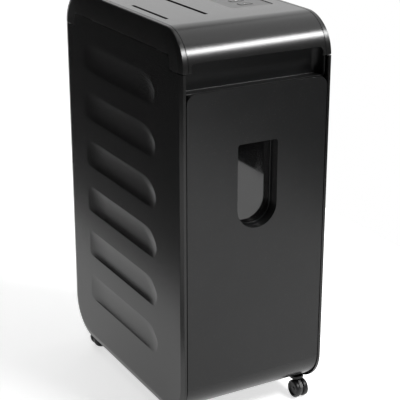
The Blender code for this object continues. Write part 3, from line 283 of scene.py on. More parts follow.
# %% Steel, board and ink
def plated_steel():
    material, wire, shader = new_finish("zinc_plated_steel", Metallic=1.0)
    place = wire.node("TexCoord", output="Object")
    crystals = wire.node("TexVoronoi", {"feature": "F1"}, {"Vector": place, "Scale": 210.0}, 1)
    patch = wire.node("SeparateColor", {}, {"Color": crystals})
    rolled = wire.noise(300, 3, (1, 0.05, 1))
    edges = edge_mask(wire, 0.0010)
    body = (patch * 0.7 + rolled * 0.3).tint(grey(0.46, 0.02), grey(0.62, -0.01))
    gloss = 0.30 + patch * 0.10 + rolled * 0.08
    relief = wire.node("Bump", {}, {"Strength": 0.10, "Distance": 0.0002, "Height": rolled})
    feed(wire, shader, Base_Color=(edges * 0.5).tint(body, grey(0.75)), Roughness=gloss, Normal=relief)
    return material


def ground_steel():
    material, wire, shader = new_finish("hardened_steel", Metallic=1.0)
    lines = wire.noise(1400, 2, (0.06, 1, 0.06))
    stain = wire.noise(60, 4).step(0.45, 0.75)
    oil = stain.tint(grey(0.36), grey(0.20, 0.10))
    gloss = 0.22 + lines * 0.16 + stain * 0.10
    relief = wire.node("Bump", {}, {"Strength": 0.15, "Distance": 0.0001, "Height": lines})
    feed(wire, shader, Base_Color=oil, Roughness=gloss, Normal=relief)
    return material


def circuit_laminate():
    material, wire, shader = new_finish("circuit_laminate", Roughness=0.35)
    place = wire.node("TexCoord", output="Object")
    tracks = wire.node("TexBrick", {"offset": 0.5}, {"Vector": place, "Scale": 130.0, "Mortar Size": 0.06}, 1)
    weave = wire.noise(1600, 1)
    board = weave.tint((0.010, 0.085, 0.035, 1), (0.014, 0.110, 0.045, 1))
    relief = wire.node("Bump", {}, {"Strength": 0.4, "Distance": 0.0001, "Height": tracks})
    feed(wire, shader, Base_Color=tracks.tint(board, (0.03, 0.20, 0.07, 1)), Normal=relief)
    return material


def white_print():
    material, wire, shader = new_finish("white_print", Roughness=0.5)
    wear = wire.noise(1100, 3).step(0.55, 0.80)
    feed(wire, shader, Base_Color=wear.tint(grey(0.86), grey(0.66)))
    return material


STEEL = plated_steel()
CUTTER_STEEL = ground_steel()
LAMINATE = circuit_laminate()
PRINT = white_print()
print("materials so far:", [m.name for m in bpy.data.materials][-4:])

# %% [markdown]
# ## Shapes from outlines
# Most housings start as a flat outline with rounded corners, pulled out to a thickness. `rounded` makes
# the outline, `prism` pulls it out, and `carve` cuts one shape with others through Boolean modifiers
# and keeps the result. `soften` puts the small radius on every sharp edge that a mould leaves: without
# it, edges catch no light and plastic looks like card.

# %% Outline and solid helpers
PLANES = {"XY": lambda a, b, c: (a, b, c), "XZ": lambda a, b, c: (a, c, b), "YZ": lambda a, b, c: (c, a, b)}


def rounded(corners, steps=6):
    """Points of a closed outline whose corners (a, b, radius) are rounded."""
    points = []
    for i, (a, b, radius) in enumerate(corners):
        here = Vector((a, b))
        if radius <= 0:
            points.append(here)
            continue
        before = (Vector(corners[i - 1][:2]) - here).normalized()
        after = (Vector(corners[(i + 1) % len(corners)][:2]) - here).normalized()
        half = before.angle(after) / 2
        centre = here + (before + after).normalized() * (radius / math.sin(half))
        start = here + before * (radius / math.tan(half)) - centre
        turn = (here + after * (radius / math.tan(half)) - centre).angle_signed(start)
        points += [centre + Matrix.Rotation(turn * k / steps, 2) @ start for k in range(steps + 1)]
    kept = [p for i, p in enumerate(points) if (p - points[i - 1]).length > 1e-6]
    return kept


def oblong(a0, b0, a1, b1, radius, steps=6):
    return rounded([(a0, b0, radius), (a1, b0, radius), (a1, b1, radius), (a0, b1, radius)], steps)


def arc(centre, radius, start, end, steps):
    """Points on an arc; angles in degrees."""
    angles = [math.radians(start + (end - start) * k / steps) for k in range(steps + 1)]
    return [Vector(centre) + radius * Vector((math.cos(a), math.sin(a))) for a in angles]


def piece_from(shape, name):
    """Turns a bmesh into an object at its place."""
    bmesh.ops.recalc_face_normals(shape, faces=shape.faces)
    mesh = bpy.data.meshes.new(name)
    shape.to_mesh(mesh)
    shape.free()
    piece = bpy.data.objects.new(name, mesh)
    bpy.context.scene.collection.objects.link(piece)
    return piece


def prism(name, plane, outline, low, high):
    """A closed plate with that outline, between two levels along the third axis."""
    shape = bmesh.new()
    rings = [[shape.verts.new(PLANES[plane](a, b, level)) for a, b in outline] for level in (low, high)]
    for ring in rings:
        shape.faces.new(ring)
    for i in range(len(outline)):
        shape.faces.new((rings[0][i - 1], rings[0][i], rings[1][i], rings[1][i - 1]))
    return piece_from(shape, name)


def lathe(name, profile, place=(0, 0, 0), axis="X", steps=48):
    """A closed solid turned about an axis through a place; profile holds (radius, position along it)."""
    turn = {"X": lambda r, u, c, s: (u, r * c, r * s), "Y": lambda r, u, c, s: (r * c, u, r * s),
            "Z": lambda r, u, c, s: (r * c, r * s, u)}[axis]
    shape = bmesh.new()
    rings = []
    for k in range(steps):
        c, s = math.cos(2 * math.pi * k / steps), math.sin(2 * math.pi * k / steps)
        rings.append([shape.verts.new(Vector(place) + Vector(turn(r, u, c, s))) for r, u in profile])
    for k in range(steps):
        for i in range(len(profile)):
            j = (i + 1) % len(profile)
            shape.faces.new((rings[k - 1][i], rings[k - 1][j], rings[k][j], rings[k][i]))
    bmesh.ops.remove_doubles(shape, verts=shape.verts, dist=1e-7)
    bmesh.ops.dissolve_degenerate(shape, edges=shape.edges, dist=1e-7)
    return piece_from(shape, name)


def carve(target, *tools, operation="DIFFERENCE"):
    """Cuts, joins or intersects the target with tools, keeps the result and removes the tools."""
    for tool in tools:
        change = target.modifiers.new(operation.lower(), "BOOLEAN")
        change.operation, change.object, change.solver = operation, tool, "EXACT"
    return settle(target, tools)


def settle(piece, leftovers=()):
    """Turns a piece's modifiers into its mesh."""
    graph = bpy.context.evaluated_depsgraph_get()
    piece.data = bpy.data.meshes.new_from_object(piece.evaluated_get(graph))
    piece.modifiers.clear()
    for extra in leftovers:
        bpy.data.objects.remove(extra, do_unlink=True)
    return piece


def soften(piece, width, segments=3, angle=35):
    """Smooth shading, with a small radius on every edge sharper than the angle."""
    if "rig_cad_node" not in piece:
        piece.data.shade_smooth()
    bevel = piece.modifiers.new("moulded edges", "BEVEL")
    bevel.width, bevel.segments = width, segments
    bevel.limit_method, bevel.angle_limit = "ANGLE", math.radians(angle)
    bevel.harden_normals = True
    bevel.miter_outer = "MITER_ARC"
    return piece


def dress(piece, body, slot, material, *replaced):
    """Gives a finished piece its body and its material, and hides the solids it stands for. The slot is not
    used.
    """
    piece.data.materials.clear()
    piece.data.materials.append(material)
    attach(piece, body)
    if replaced:
        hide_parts(*replaced)
    return piece


print("shape helpers ready")

# %% [markdown]
# ## Side panels
# Each side is one large moulded panel with six scoops, which carry the eye upwards and stiffen the wall.
# A scoop is a shallow channel: crisp where it starts, softly hollow inside, and closed at both ends.
# Sculpting or cutting it from a plain slab would leave ragged edges. So the panel is a grid of quads whose
# rows and columns run exactly along the scoops' edges, and the inner points are pushed in by a formula.
# Extra rows half a millimetre from each crease keep it tight once the panel is shaded smooth.

# %% Side panels
PANEL_LOW, PANEL_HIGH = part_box("side_panel_left")
HALF_WIDTH = -PANEL_LOW.x
HALF_DEPTH = PANEL_HIGH.y
BOTTOM = PANEL_LOW.z
CORNER = 0.065
RIM = 0.007
BORDER, BORDER_DROP = 0.010, 0.0025
WALL = 0.003
SEAM = 0.0015
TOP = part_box("top_cover")[1].z
HEAD_SEAM = TOP - CORNER
TAB_HALF = HALF_DEPTH - 0.043 - SEAM / 2
TAB_CORNER = 0.008
SCOOP_COUNT, SCOOP_PITCH, SCOOP_HEIGHT, SCOOP_DEPTH = 6, 0.090, 0.051, 0.0022
SCOOP_FIRST = BOTTOM + 0.089
CREASE = 0.0005
SCOOP_MARGIN = 0.012
PANEL_EDGE = 0.0011
FLAT_HALF = HALF_DEPTH - BORDER


def spread(low, high, count, crowd=0.0):
    """Values from low to high; crowd, from 0 to 1, draws them towards both ends."""
    shares = [k / count for k in range(count + 1)]
    shares = [s + crowd * ((1 - math.cos(math.pi * s)) / 2 - s) for s in shares]
    return [low + (high - low) * s for s in shares]


def between_creases(low, high, count):
    """Values between two creases, with one more just inside each, which keeps the crease tight."""
    return [low, *spread(low + CREASE, high - CREASE, count, 0.6), high]


def crossing(outline, height, side):
    """Where a scoop's outline crosses a height: its front (side -1) or rear (side 1) end."""
    found = []
    for p, q in zip(outline, outline[1:] + outline[:1]):
        if min(p.y, q.y) - 1e-9 <= height <= max(p.y, q.y) + 1e-9 and abs(p.y - q.y) > 1e-9:
            found.append(p.x + (q.x - p.x) * (height - p.y) / (q.y - p.y))
    return side * max(side * y for y in found)


SCOOP = rounded([(0.147, 0, 0.006), (-0.121, 0, 0.005), (-0.136, 0.024, 0.016),
                 (-0.109, SCOOP_HEIGHT, 0.028), (0.143, SCOOP_HEIGHT, 0.003)], 10)


def hollow(rise, front, rear):
    """Depth of a scoop at a share of its height and at distances from its two ends."""
    deepest = 0.30
    across = (deepest - rise) / deepest if rise < deepest else (rise - deepest) / (1 - deepest)
    ends = 1.0
    for distance, reach in ((front, 0.034), (rear, 0.075)):
        left = max(0.0, 1 - distance / reach)
        ends *= 1 - left * left
    return SCOOP_DEPTH * (1 - across * across) * ends


def panel_rows():
    """(height, half depth of the panel there, scoop rise or None), from the bottom up."""
    rows = []
    radius = CORNER - BORDER
    for angle in spread(0, 90, 16):
        a = math.radians(angle)
        half = HALF_DEPTH - CORNER + radius * math.sin(a)
        rows.append((BOTTOM + CORNER - radius * math.cos(a), half, None))
    for i in range(SCOOP_COUNT):
        low = SCOOP_FIRST + i * SCOOP_PITCH
        high = low + SCOOP_HEIGHT
        rises = between_creases(0, SCOOP_HEIGHT, 14)
        rows += [(height, FLAT_HALF, None) for height in (low - SCOOP_MARGIN, low - CREASE)]
        rows += [(low + rise, FLAT_HALF, rise / SCOOP_HEIGHT) for rise in rises]
        rows += [(height, FLAT_HALF, None) for height in (high + CREASE, high + SCOOP_MARGIN)]
    rows.append((HEAD_SEAM - SEAM / 2, FLAT_HALF, None))
    return rows


def row_columns(rise):
    """Places of the columns along a row of the full depth."""
    height = SCOOP_HEIGHT * (0.5 if rise is None else rise)
    if rise is None:
        front, rear = -0.118, 0.145
    else:
        front, rear = crossing(SCOOP, height, -1), crossing(SCOOP, height, 1)
    tab = TAB_HALF
    columns = [-FLAT_HALF] + spread(CREASE - FLAT_HALF, -tab, 3) + spread(-tab, front - CREASE, 4)[1:]
    start = len(columns)
    columns += between_creases(front, rear, 38)
    stop = len(columns) - 1
    columns += spread(rear + CREASE, tab, 3) + spread(tab, FLAT_HALF - CREASE, 3)[1:] + [FLAT_HALF]
    return columns, start, stop


def slope_border(shape, side):
    """Carries the face on past its front, rear and bottom edges, sloping inwards."""
    shoulder = HEAD_SEAM - SEAM / 2
    edges = [e for e in shape.edges if e.is_boundary and max(v.co.z for v in e.verts) < shoulder + 1e-6
             and min(v.co.z for v in e.verts) < shoulder - 1e-6]
    done = 0.0
    for run in (CREASE, BORDER - CREASE, BORDER):
        grown = bmesh.ops.extrude_edge_only(shape, edges=edges)["geom"]
        edges = [g for g in grown if isinstance(g, bmesh.types.BMEdge)]
        for vert in (g for g in grown if isinstance(g, bmesh.types.BMVert)):
            across = max(0.0, abs(vert.co.y) - HALF_DEPTH + CORNER) * (1 if vert.co.y > 0 else -1)
            down = min(0.0, vert.co.z - BOTTOM - CORNER)
            out = Vector((0, across, down)).normalized() * (run - done)
            vert.co += out - Vector((side * BORDER_DROP * (run - done) / BORDER, 0, 0))
        edges = [e for e in edges if e.is_boundary]
        done = run


def side_panel(side, node):
    """The outer face as a grid, then a rim, a wall thickness and rounded edges."""
    face = side * HALF_WIDTH
    shape = bmesh.new()
    grid = []
    for height, half, rise in panel_rows():
        columns, start, stop = row_columns(rise)
        line = []
        for j, y in enumerate(columns):
            depth = 0.0
            if rise is not None and start <= j <= stop:
                depth = hollow(rise, y - columns[start], columns[stop] - y)
            line.append(shape.verts.new((face - side * depth, y * half / FLAT_HALF, height)))
        grid.append(line)
    for lower, upper in zip(grid, grid[1:]):
        for j in range(len(lower) - 1):
            shape.faces.new((lower[j], lower[j + 1], upper[j + 1], upper[j]))
    first = min(j for j, y in enumerate(row_columns(None)[0]) if y >= -TAB_HALF - 1e-6)
    last = max(j for j, y in enumerate(row_columns(None)[0]) if y <= TAB_HALF + 1e-6)
    line = grid[-1][first:last + 1]
    tab_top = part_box(node)[1].z
    heights = [(tab_top - TAB_CORNER, TAB_HALF)]
    for angle in spread(0, 90, 7)[1:]:
        a = math.radians(angle)
        heights.append((tab_top - TAB_CORNER * (1 - math.sin(a)), TAB_HALF - TAB_CORNER * (1 - math.cos(a))))
    for height, half in heights:
        above = [shape.verts.new((face, v.co.y * half / abs(line[0].co.y), height)) for v in line]
        for j in range(len(line) - 1):
            shape.faces.new((line[j], line[j + 1], above[j + 1], above[j]))
        line = above
    slope_border(shape, side)
    edges = [e for e in shape.edges if e.is_boundary]
    grown = bmesh.ops.extrude_edge_only(shape, edges=edges)["geom"]
    for vert in (g for g in grown if isinstance(g, bmesh.types.BMVert)):
        vert.co.x = side * (HALF_WIDTH - RIM)
    panel = piece_from(shape, node + "_shell")
    if side * sum(face.normal.x * face.area for face in panel.data.polygons) < 0:
        panel.data.flip_normals()
    wall = panel.modifiers.new("wall", "SOLIDIFY")
    wall.thickness, wall.offset = WALL, -1
    settle(panel)
    soften(panel, PANEL_EDGE, 3, 50)
    return dress(panel, "cabinet", "satin_black_plastic", SATIN_BLACK, node)


for side, word in ((-1, "left"), (1, "right")):
    made = side_panel(side, "side_panel_" + word)
    print(made.name, len(made.data.polygons), "faces")

# %% [markdown]
# ## Head arches
# A hoop frames the cutter head on each side. At the seam it has the side panel's narrow sloping border,
# and on its way up it rolls inwards more and more, so a highlight widens along its curve. That is a loft:
# a section is placed at many points of the path and joined up. Here the section itself changes, from a
# straight border into a quarter of an ellipse.

# %% Head arches
ARCH_BAND, ARCH_WIDTH, ARCH_TUCK = 0.042, 0.012, 0.007
TAB_TOP = TOP - ARCH_BAND + 0.001


def arch_path():
    """Matching points of the hoop's outer and inner line, and the way up from 0 to 1."""
    start = math.degrees(math.asin(SEAM / 2 / CORNER))
    tab, top, low = HALF_DEPTH - 0.043 + SEAM / 2, TAB_TOP + SEAM / 2, HEAD_SEAM + SEAM / 2
    outer = arc((-HALF_DEPTH + CORNER, HEAD_SEAM), CORNER, 180 - start, 90, 28)
    leg = [Vector((-tab, low + (top - TAB_CORNER - low) * k / 14)) for k in range(14)]
    inner = leg + arc((-tab + TAB_CORNER, top - TAB_CORNER), TAB_CORNER, 180, 90, 14)
    rise = [k / (len(outer) - 1) for k in range(len(outer))]
    return (outer + [Vector((-p.x, p.y)) for p in reversed(outer)],
            inner + [Vector((-p.x, p.y)) for p in reversed(inner)], rise + rise[::-1])


def head_arch(side, node):
    outer, inner, rises = arch_path()
    edge, back = HALF_WIDTH - ARCH_TUCK, HALF_WIDTH - ARCH_WIDTH
    depth = ARCH_BAND - SEAM / 2
    shares = sorted([(k / 12) ** 1.8 for k in range(13)] + [BORDER / depth])
    shape = bmesh.new()
    rings = []
    for p, q, rise in zip(outer, inner, rises):
        inset = p.lerp(q, WALL / depth)
        wide = rise * rise * (3 - 2 * rise)
        section = [(back, p)]
        for f in shares:
            border = BORDER_DROP * max(0.0, 1 - f * depth / BORDER)
            curve = ARCH_TUCK * (1 - math.sqrt(1 - (1 - f) ** 2))
            section.append((HALF_WIDTH - border * (1 - wide) - curve * wide, p.lerp(q, f)))
        section += [(HALF_WIDTH - WALL, q), (edge - 0.001, inset), (back, inset)]
        rings.append([shape.verts.new((side * x, point.x, point.y)) for x, point in section])
    for ring, following in zip(rings, rings[1:]):
        for i in range(len(ring)):
            j = (i + 1) % len(ring)
            shape.faces.new((ring[i], ring[j], following[j], following[i]))
    shape.faces.new(rings[0])
    shape.faces.new(rings[-1])
    arch = soften(piece_from(shape, node + "_hoop"), 0.0005, 2, 40)
    return dress(arch, "cabinet", "satin_black_plastic", HEAD_BLACK, node)


for side, word in ((-1, "left"), (1, "right")):
    print(head_arch(side, "head_arch_" + word).name)

# %% [markdown]
# ## Top cover
# One curved sheet runs from the front lip over the top and down the back. Its section is a U with large
# corners, so it starts as a prism of that U. The slots, the seat of the control panel and the notch over
# the hand recess are then cut through it. The cut edges get a small radius, as paper has to slide in.

# %% Top cover
COVER_HALF = HALF_WIDTH - ARCH_WIDTH - 0.0006
LIP = HEAD_SEAM + 0.015
PAPER_X, DISC_X = -0.036, -0.109
PANEL_LOWEST, PANEL_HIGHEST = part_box("control_panel")
PANEL_CENTRE = (PANEL_LOWEST + PANEL_HIGHEST) / 2


def cover_profile(steps=28):
    low = math.degrees(math.asin(SEAM / 2 / CORNER))
    y = HALF_DEPTH - CORNER
    outer = arc((-y, HEAD_SEAM), CORNER, 180 - low, 90, steps) + arc((y, HEAD_SEAM), CORNER, 90, low, steps)
    return outer + [Vector((p.x * (1 - WALL / HALF_DEPTH), p.y)) if abs(p.y - HEAD_SEAM) < 0.001 else
                    Vector((math.copysign(y, p.x), HEAD_SEAM))
                    + (p - Vector((math.copysign(y, p.x), HEAD_SEAM))) * ((CORNER - WALL) / CORNER)
                    for p in reversed(outer)]


def top_cover():
    cover = prism("top_cover_sheet", "YZ", cover_profile(), -COVER_HALF, COVER_HALF)
    leg = 0.005
    notch = oblong(-COVER_HALF + leg, HEAD_SEAM - 0.02, COVER_HALF - leg, LIP, 0.007, 8)
    tools = [prism("notch", "XZ", notch, -HALF_DEPTH - 0.01, -HALF_DEPTH + 0.02)]
    for outline in (oblong(PAPER_X - 0.0035, -0.1175, PAPER_X + 0.0035, 0.1175, 0.0034, 8),
                    oblong(DISC_X - 0.003, -0.120, DISC_X + 0.003, 0.006, 0.0029, 8),
                    oblong(PANEL_CENTRE.x - 0.0406, PANEL_CENTRE.y - 0.0756,
                           PANEL_CENTRE.x + 0.0406, PANEL_CENTRE.y + 0.0756, 0.006, 8)):
        tools.append(prism("opening", "XY", outline, TOP - 0.02, TOP + 0.01))
    carve(cover, *tools)
    soften(cover, 0.0003, 2, 40)
    return dress(cover, "cabinet", "gloss_black_plastic", GLOSS_BLACK, "top_cover")


print(top_cover().name)

# %% [markdown]
# ## Drawer front
# The drawer's face is a thick moulding that curves under the cabinet. Its top is an 8 mm lip that the
# fingers pull on, and its window sits at the end of a deep well. The face is a prism of its side view,
# trimmed to the front view with its rounded upper corners. The well is added and the window cut through.

# %% Drawer front
FRONT_LOW, FRONT_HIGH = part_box("drawer_front")
WINDOW_TOP, WINDOW_BOTTOM, WINDOW_HALF = BOTTOM + 0.484, BOTTOM + 0.335, 0.038
WELL = 0.021


def window_outline(grow=0.0, steps=20):
    w, low = WINDOW_HALF + grow, WINDOW_BOTTOM - grow
    top = WINDOW_TOP + grow
    return rounded([(-w, low, w - 0.0001), (w, low, w - 0.0001), (w, top, 0.005), (-w, top, 0.005)], steps)


def drawer_front():
    under = 0.060
    y, z = HALF_DEPTH - under, FRONT_LOW.z + under
    top = FRONT_HIGH.z
    outer = [Vector((-HALF_DEPTH, top))] + arc((-y, z), under, 180, 270, 24)
    inner = [Vector((-HALF_DEPTH + WALL, top - 0.006))] + arc((-y, z), under - WALL, 180, 270, 24)
    lip = -HALF_DEPTH + 0.008
    side_view = outer + inner[::-1] + [Vector((lip, top - 0.006)), Vector((lip, top))]
    half = FRONT_HIGH.x
    front = prism("drawer_front_face", "YZ", side_view, -half, half)
    front_view = rounded([(-half - 0.001, FRONT_LOW.z - 0.01, 0), (half + 0.001, FRONT_LOW.z - 0.01, 0),
                          (half + 0.001, top - 0.03, 0), (half, top - 0.025, 0),
                          (half, top + 1e-5, 0.0155), (-half, top + 1e-5, 0.0155),
                          (-half, top - 0.025, 0), (-half - 0.001, top - 0.03, 0)], 12)
    carve(front, prism("trim", "XZ", front_view, -HALF_DEPTH - 0.01, 0), operation="INTERSECT")
    back = -HALF_DEPTH + WELL
    carve(front, prism("well", "XZ", window_outline(WALL), -HALF_DEPTH + 0.001, back), operation="UNION")
    carve(front, prism("opening", "XZ", window_outline(), -HALF_DEPTH - 0.01, back + 0.01))
    soften(front, 0.0014, 4, 40)
    return dress(front, "drawer", "dark_grey_plastic", DRAWER_GREY, "drawer_front")


def window_bead():
    """The raised bead that holds the pane, just inside the well."""
    front, back = -HALF_DEPTH + WELL - 0.0022, -HALF_DEPTH + WELL - 0.0001
    bead = prism("window_bead", "XZ", window_outline(-0.0002), front, back)
    carve(bead, prism("inside", "XZ", window_outline(-0.0030), front - 0.01, back + 0.01))
    soften(bead, 0.0006, 3, 40)
    return dress(bead, "drawer", "dark_grey_plastic", DRAWER_GREY)


print(drawer_front().name, window_bead().name)

# %% [markdown]
# ## Solids that keep their shape
# Many solids of the engineering model already have the right shape. They only lack the small radius on
# their edges and smooth curved faces. Modifiers do that without touching the mesh: Weld joins the loose
# triangles of the import, Decimate dissolves the lines between those in one plane, a tiny geometry-nodes
# group shades smooth below an angle, and Bevel rounds. Weighted normals keep the large flats truly flat.


# %% Modifiers for kept solids
def smooth_group(angle):
    """Geometry nodes that shade a mesh smooth, except across edges sharper than the angle."""
    group = bpy.data.node_groups.new("smooth below an angle", "GeometryNodeTree")
    group.interface.new_socket("Geometry", in_out="INPUT", socket_type="NodeSocketGeometry")
    group.interface.new_socket("Geometry", in_out="OUTPUT", socket_type="NodeSocketGeometry")
    start, end = group.nodes.new("NodeGroupInput"), group.nodes.new("NodeGroupOutput")
    faces = group.nodes.new("GeometryNodeSetShadeSmooth")
    edges = group.nodes.new("GeometryNodeSetShadeSmooth")
    edges.domain = "EDGE"
    edges.inputs["Shade Smooth"].default_value = False
    bend = group.nodes.new("GeometryNodeInputMeshEdgeAngle")
    sharp = group.nodes.new("FunctionNodeCompare")
    sharp.operation = "GREATER_THAN"
    sharp.inputs[1].default_value = math.radians(angle)
    group.links.new(bend.outputs[0], sharp.inputs[0])
    group.links.new(sharp.outputs[0], edges.inputs["Selection"])
    group.links.new(start.outputs[0], faces.inputs["Geometry"])
    group.links.new(faces.outputs[0], edges.inputs["Geometry"])
    group.links.new(edges.outputs[0], end.inputs[0])
    return group


SMOOTH = smooth_group(34)


def keep(node, material, radius=0.0004, segments=2):
    """A solid of the engineering model with rounded edges and its finish."""
    solid = nodes[node]
    weld = solid.modifiers.new("weld", "WELD")
    weld.merge_threshold = 1e-6
    flat = solid.modifiers.new("one face per flat", "DECIMATE")
    flat.decimate_type, flat.angle_limit = "DISSOLVE", math.radians(0.3)
    shading = solid.modifiers.new("smooth", "NODES")
    shading.node_group = SMOOTH
    if radius:
        soften(solid, radius, segments, 34)
    normals = solid.modifiers.new("flat shading of flats", "WEIGHTED_NORMAL")
    normals.weight, normals.keep_sharp = 100, True
    for place in solid.material_slots:
        place.material = material
    return solid


# %% [markdown]
# ## What lies inside
# Behind the slots and the drawer there are a recess, two bins, a sheet-steel shelf and a gear train.
# They show through the openings and when the drawer is out, so they get real finishes too: zinc-plated
# sheet for the structure, ground steel for the cutters and undyed nylon for the gears.

# %% Finishes of the kept solids
KEPT = (
    (("recess_fascia",), INNER_BLACK, 0.0008),
    (("back_panel",), SATIN_BLACK, 0.0005),
    (("base_tray",), INNER_BLACK, 0.0005),
    (("mechanism_shelf", "drawer_rail_left", "drawer_rail_right", "drawer_frame"), STEEL, 0.0003),
    (("cutter_plate_front", "cutter_plate_rear", "tie_bar_left", "tie_bar_right"), STEEL, 0.0003),
    (("stripper_comb_left", "stripper_comb_right"), STEEL, 0.0002),
    (("motor_body",), STEEL, 0.0004),
    (("motor_pinion",), CUTTER_STEEL, 0.0001),
    (("paper_cutter_left", "paper_cutter_right"), CUTTER_STEEL, 0.0001),
    (("disc_cutter_left", "disc_cutter_right"), CUTTER_STEEL, 0.0001),
    (("paper_gear_left", "paper_gear_right", "disc_gear_left", "disc_gear_right"), GEAR_NYLON, 0.0001),
    (("drive_gear", "idler_gear", "reduction_gear"), GEAR_NYLON, 0.0001),
    (("motor_fan", "gearbox_cover", "paper_guide", "disc_guide"), INNER_BLACK, 0.0002),
    (("bin_tub", "disc_bin"), BIN_GREY, 0.0008),
    (("circuit_board",), LAMINATE, 0.0002),
    (("window_pane",), SMOKED, 0.0003),
    (("paper_sensor", "interlock_switch", "power_inlet", "rocker_switch"), SWITCH_BLACK, 0.0003),
)

for names, material, radius in KEPT:
    for name in names:
        keep(name, material, radius)
print("kept solids:", sum(len(names) for names, material, radius in KEPT))

# %% [markdown]
# ## Control panel
# A dark inlay in the cover holds three keys. The key caps are slightly dished so that a finger finds
# their middle, which is a grid with its centre pressed down. Their marks are generic: a broken ring
# for power and plain arrows for reverse and forward. They are printed, so they are plates as thin as ink.


# %% Control panel and keys
def dished_key(name, centre, size, high, low, dip):
    """A key cap: a rounded outline in rings towards the middle, each a little lower."""
    shape = bmesh.new()
    outline = oblong(-size[0] / 2, -size[1] / 2, size[0] / 2, size[1] / 2, 0.0027, 6)
    levels = [(1.0, low), (1.0, high - 0.0006), (0.985, high - 0.00025), (0.955, high)]
    levels += [(share, high - dip * (1 - (share / 0.92) ** 2)) for share in (0.92, 0.75, 0.55, 0.35, 0.15)]
    rings = []
    for share, level in levels:
        around = [(centre.x + p.x * share, centre.y + p.y * share, level) for p in outline]
        rings.append([shape.verts.new(point) for point in around])
    for lower, upper in zip(rings, rings[1:]):
        for i in range(len(outline)):
            shape.faces.new((lower[i - 1], lower[i], upper[i], upper[i - 1]))
    shape.faces.new(rings[0])
    shape.faces.new(rings[-1])
    cap = piece_from(shape, name)
    return soften(cap, 0.0002, 2, 50)


def printed(name, outline, level, body):
    """A mark as thin as ink."""
    mark = prism(name, "XY", outline, level, level + 0.00006)
    return dress(mark, body, "switch_black_plastic", PRINT)


def broken_ring(centre, radius, width):
    """The power mark's ring, open at the top, as one outline."""
    outside = arc(centre, radius + width / 2, 130, 410, 30)
    inside = arc(centre, radius - width / 2, 410, 130, 30)
    return outside + inside


def arrow(centre, length, way):
    """A plain arrow that points along y."""
    x, y = centre
    half, tip, neck = 0.0010, way * length / 2, way * length * 0.05
    head = 0.0034
    points = [(x - half, y - tip), (x + half, y - tip), (x + half, y + neck), (x + head, y + neck),
              (x, y + tip), (x - head, y + neck), (x - half, y + neck)]
    return [Vector(p) for p in points]


PANEL_TOP = PANEL_HIGHEST.z
keep("control_panel", SWITCH_BLACK, 0.0004, 3)
KEY_DIP, KEY_SIZE = 0.0005, (0.026, 0.014)
RING_RADIUS, RING_WIDTH, ARROW_LENGTH = 0.0042, 0.0013, 0.0100
INK_SINK = 0.00002
LAMP_PITCH, LAMP_HALF = 0.016, 0.002
for name in ("power", "reverse", "forward"):
    low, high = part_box(name + "_button")
    centre = (low + high) / 2
    cap = dished_key(name + "_key", centre, KEY_SIZE, high.z, low.z, KEY_DIP)
    dress(cap, name + "_button", "satin_black_plastic", SATIN_BLACK, name + "_button")
    level = high.z - KEY_DIP - INK_SINK
    middle = (centre.x, centre.y)
    if name == "power":
        printed("power_ring", broken_ring(middle, RING_RADIUS, RING_WIDTH), level, name + "_button")
        bar = oblong(middle[0] - 0.0007, middle[1], middle[0] + 0.0007, middle[1] + 0.0054, 0.0005)
        printed("power_bar", bar, level, name + "_button")
    else:
        way = 1 if name == "forward" else -1
        printed(name + "_arrow", arrow(middle, ARROW_LENGTH, way), level, name + "_button")
for k in range(3):
    x, y = PANEL_CENTRE.x + (k - 1) * LAMP_PITCH, PANEL_CENTRE.y + 0.046
    lamp = oblong(x - LAMP_HALF, y, x + LAMP_HALF, y + 0.002, 0.0009)
    printed("lamp_mark_%d" % (k + 1), lamp, PANEL_TOP - INK_SINK, "cabinet")

# %% [markdown]
# ## Casters
# The machine rolls on twin-wheel casters: two nylon wheels on one axle, either side of a fork, on a stem
# that swivels. The wheels are turned profiles with a rounded tread and a dished side, and each has a hub
# cap. The fork keeps its engineering shape, and a hood shades the wheels.

# %% Casters
WHEEL_R, CASTER_HALF, WEB_HALF = 0.0164, 0.013, 0.0030
TRAIL, STEM_X, STEM_Y = 0.008, 0.120, 0.177
HEADINGS = {"front_left": (-1, -1, 25), "front_right": (1, -1, 0),
            "rear_left": (-1, 1, 90), "rear_right": (1, 1, 210)}


def wheel_pair():
    """Profile of two wheels and their axle, as (radius, place along the axle)."""
    r, w, gap = WHEEL_R, CASTER_HALF, WEB_HALF + 0.0005
    half = [(0.0, w - 0.0018), (0.0030, w - 0.0018), (0.0036, w - 0.0030), (0.0105, w - 0.0030),
            (0.0116, w - 0.0012), (0.0124, w - 0.0002), (0.0136, w - 0.0001), (0.0149, w - 0.0007),
            (0.0159, w - 0.0019), (r, w - 0.0036), (r, gap + 0.0015), (r - 0.0004, gap + 0.0005),
            (r - 0.0012, gap), (0.0022, gap)]
    mirrored = [(radius, -along) for radius, along in half]
    return mirrored + half[::-1]


for place, (sx, sy, heading) in HEADINGS.items():
    pose = Matrix.Translation((sx * STEM_X, sy * STEM_Y, 0)) @ Matrix.Rotation(math.radians(heading), 4, "Z")
    wheels = lathe("caster_%s_wheels" % place, wheel_pair(), (0, -TRAIL, WHEEL_R), "X", 48)
    wheels.data.transform(pose)
    soften(wheels, 0.0003, 2, 40)
    dress(wheels, "wheels_" + place, "caster_nylon", CASTER_NYLON, "caster_wheels_" + place)
    keep("caster_hood_" + place, SWITCH_BLACK, 0.0005, 2)
print("casters:", len(HEADINGS))

# %% [markdown]
# ## Screws on the back
# Six screws hold the back panel, three up each side.
# A screw head is a turned dome with a cross pressed into it, so a lathe profile and one Boolean make it.

# %% Screws
BACK_LOW, BACK_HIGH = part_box("back_panel")
BACK_FACE = BACK_HIGH.y


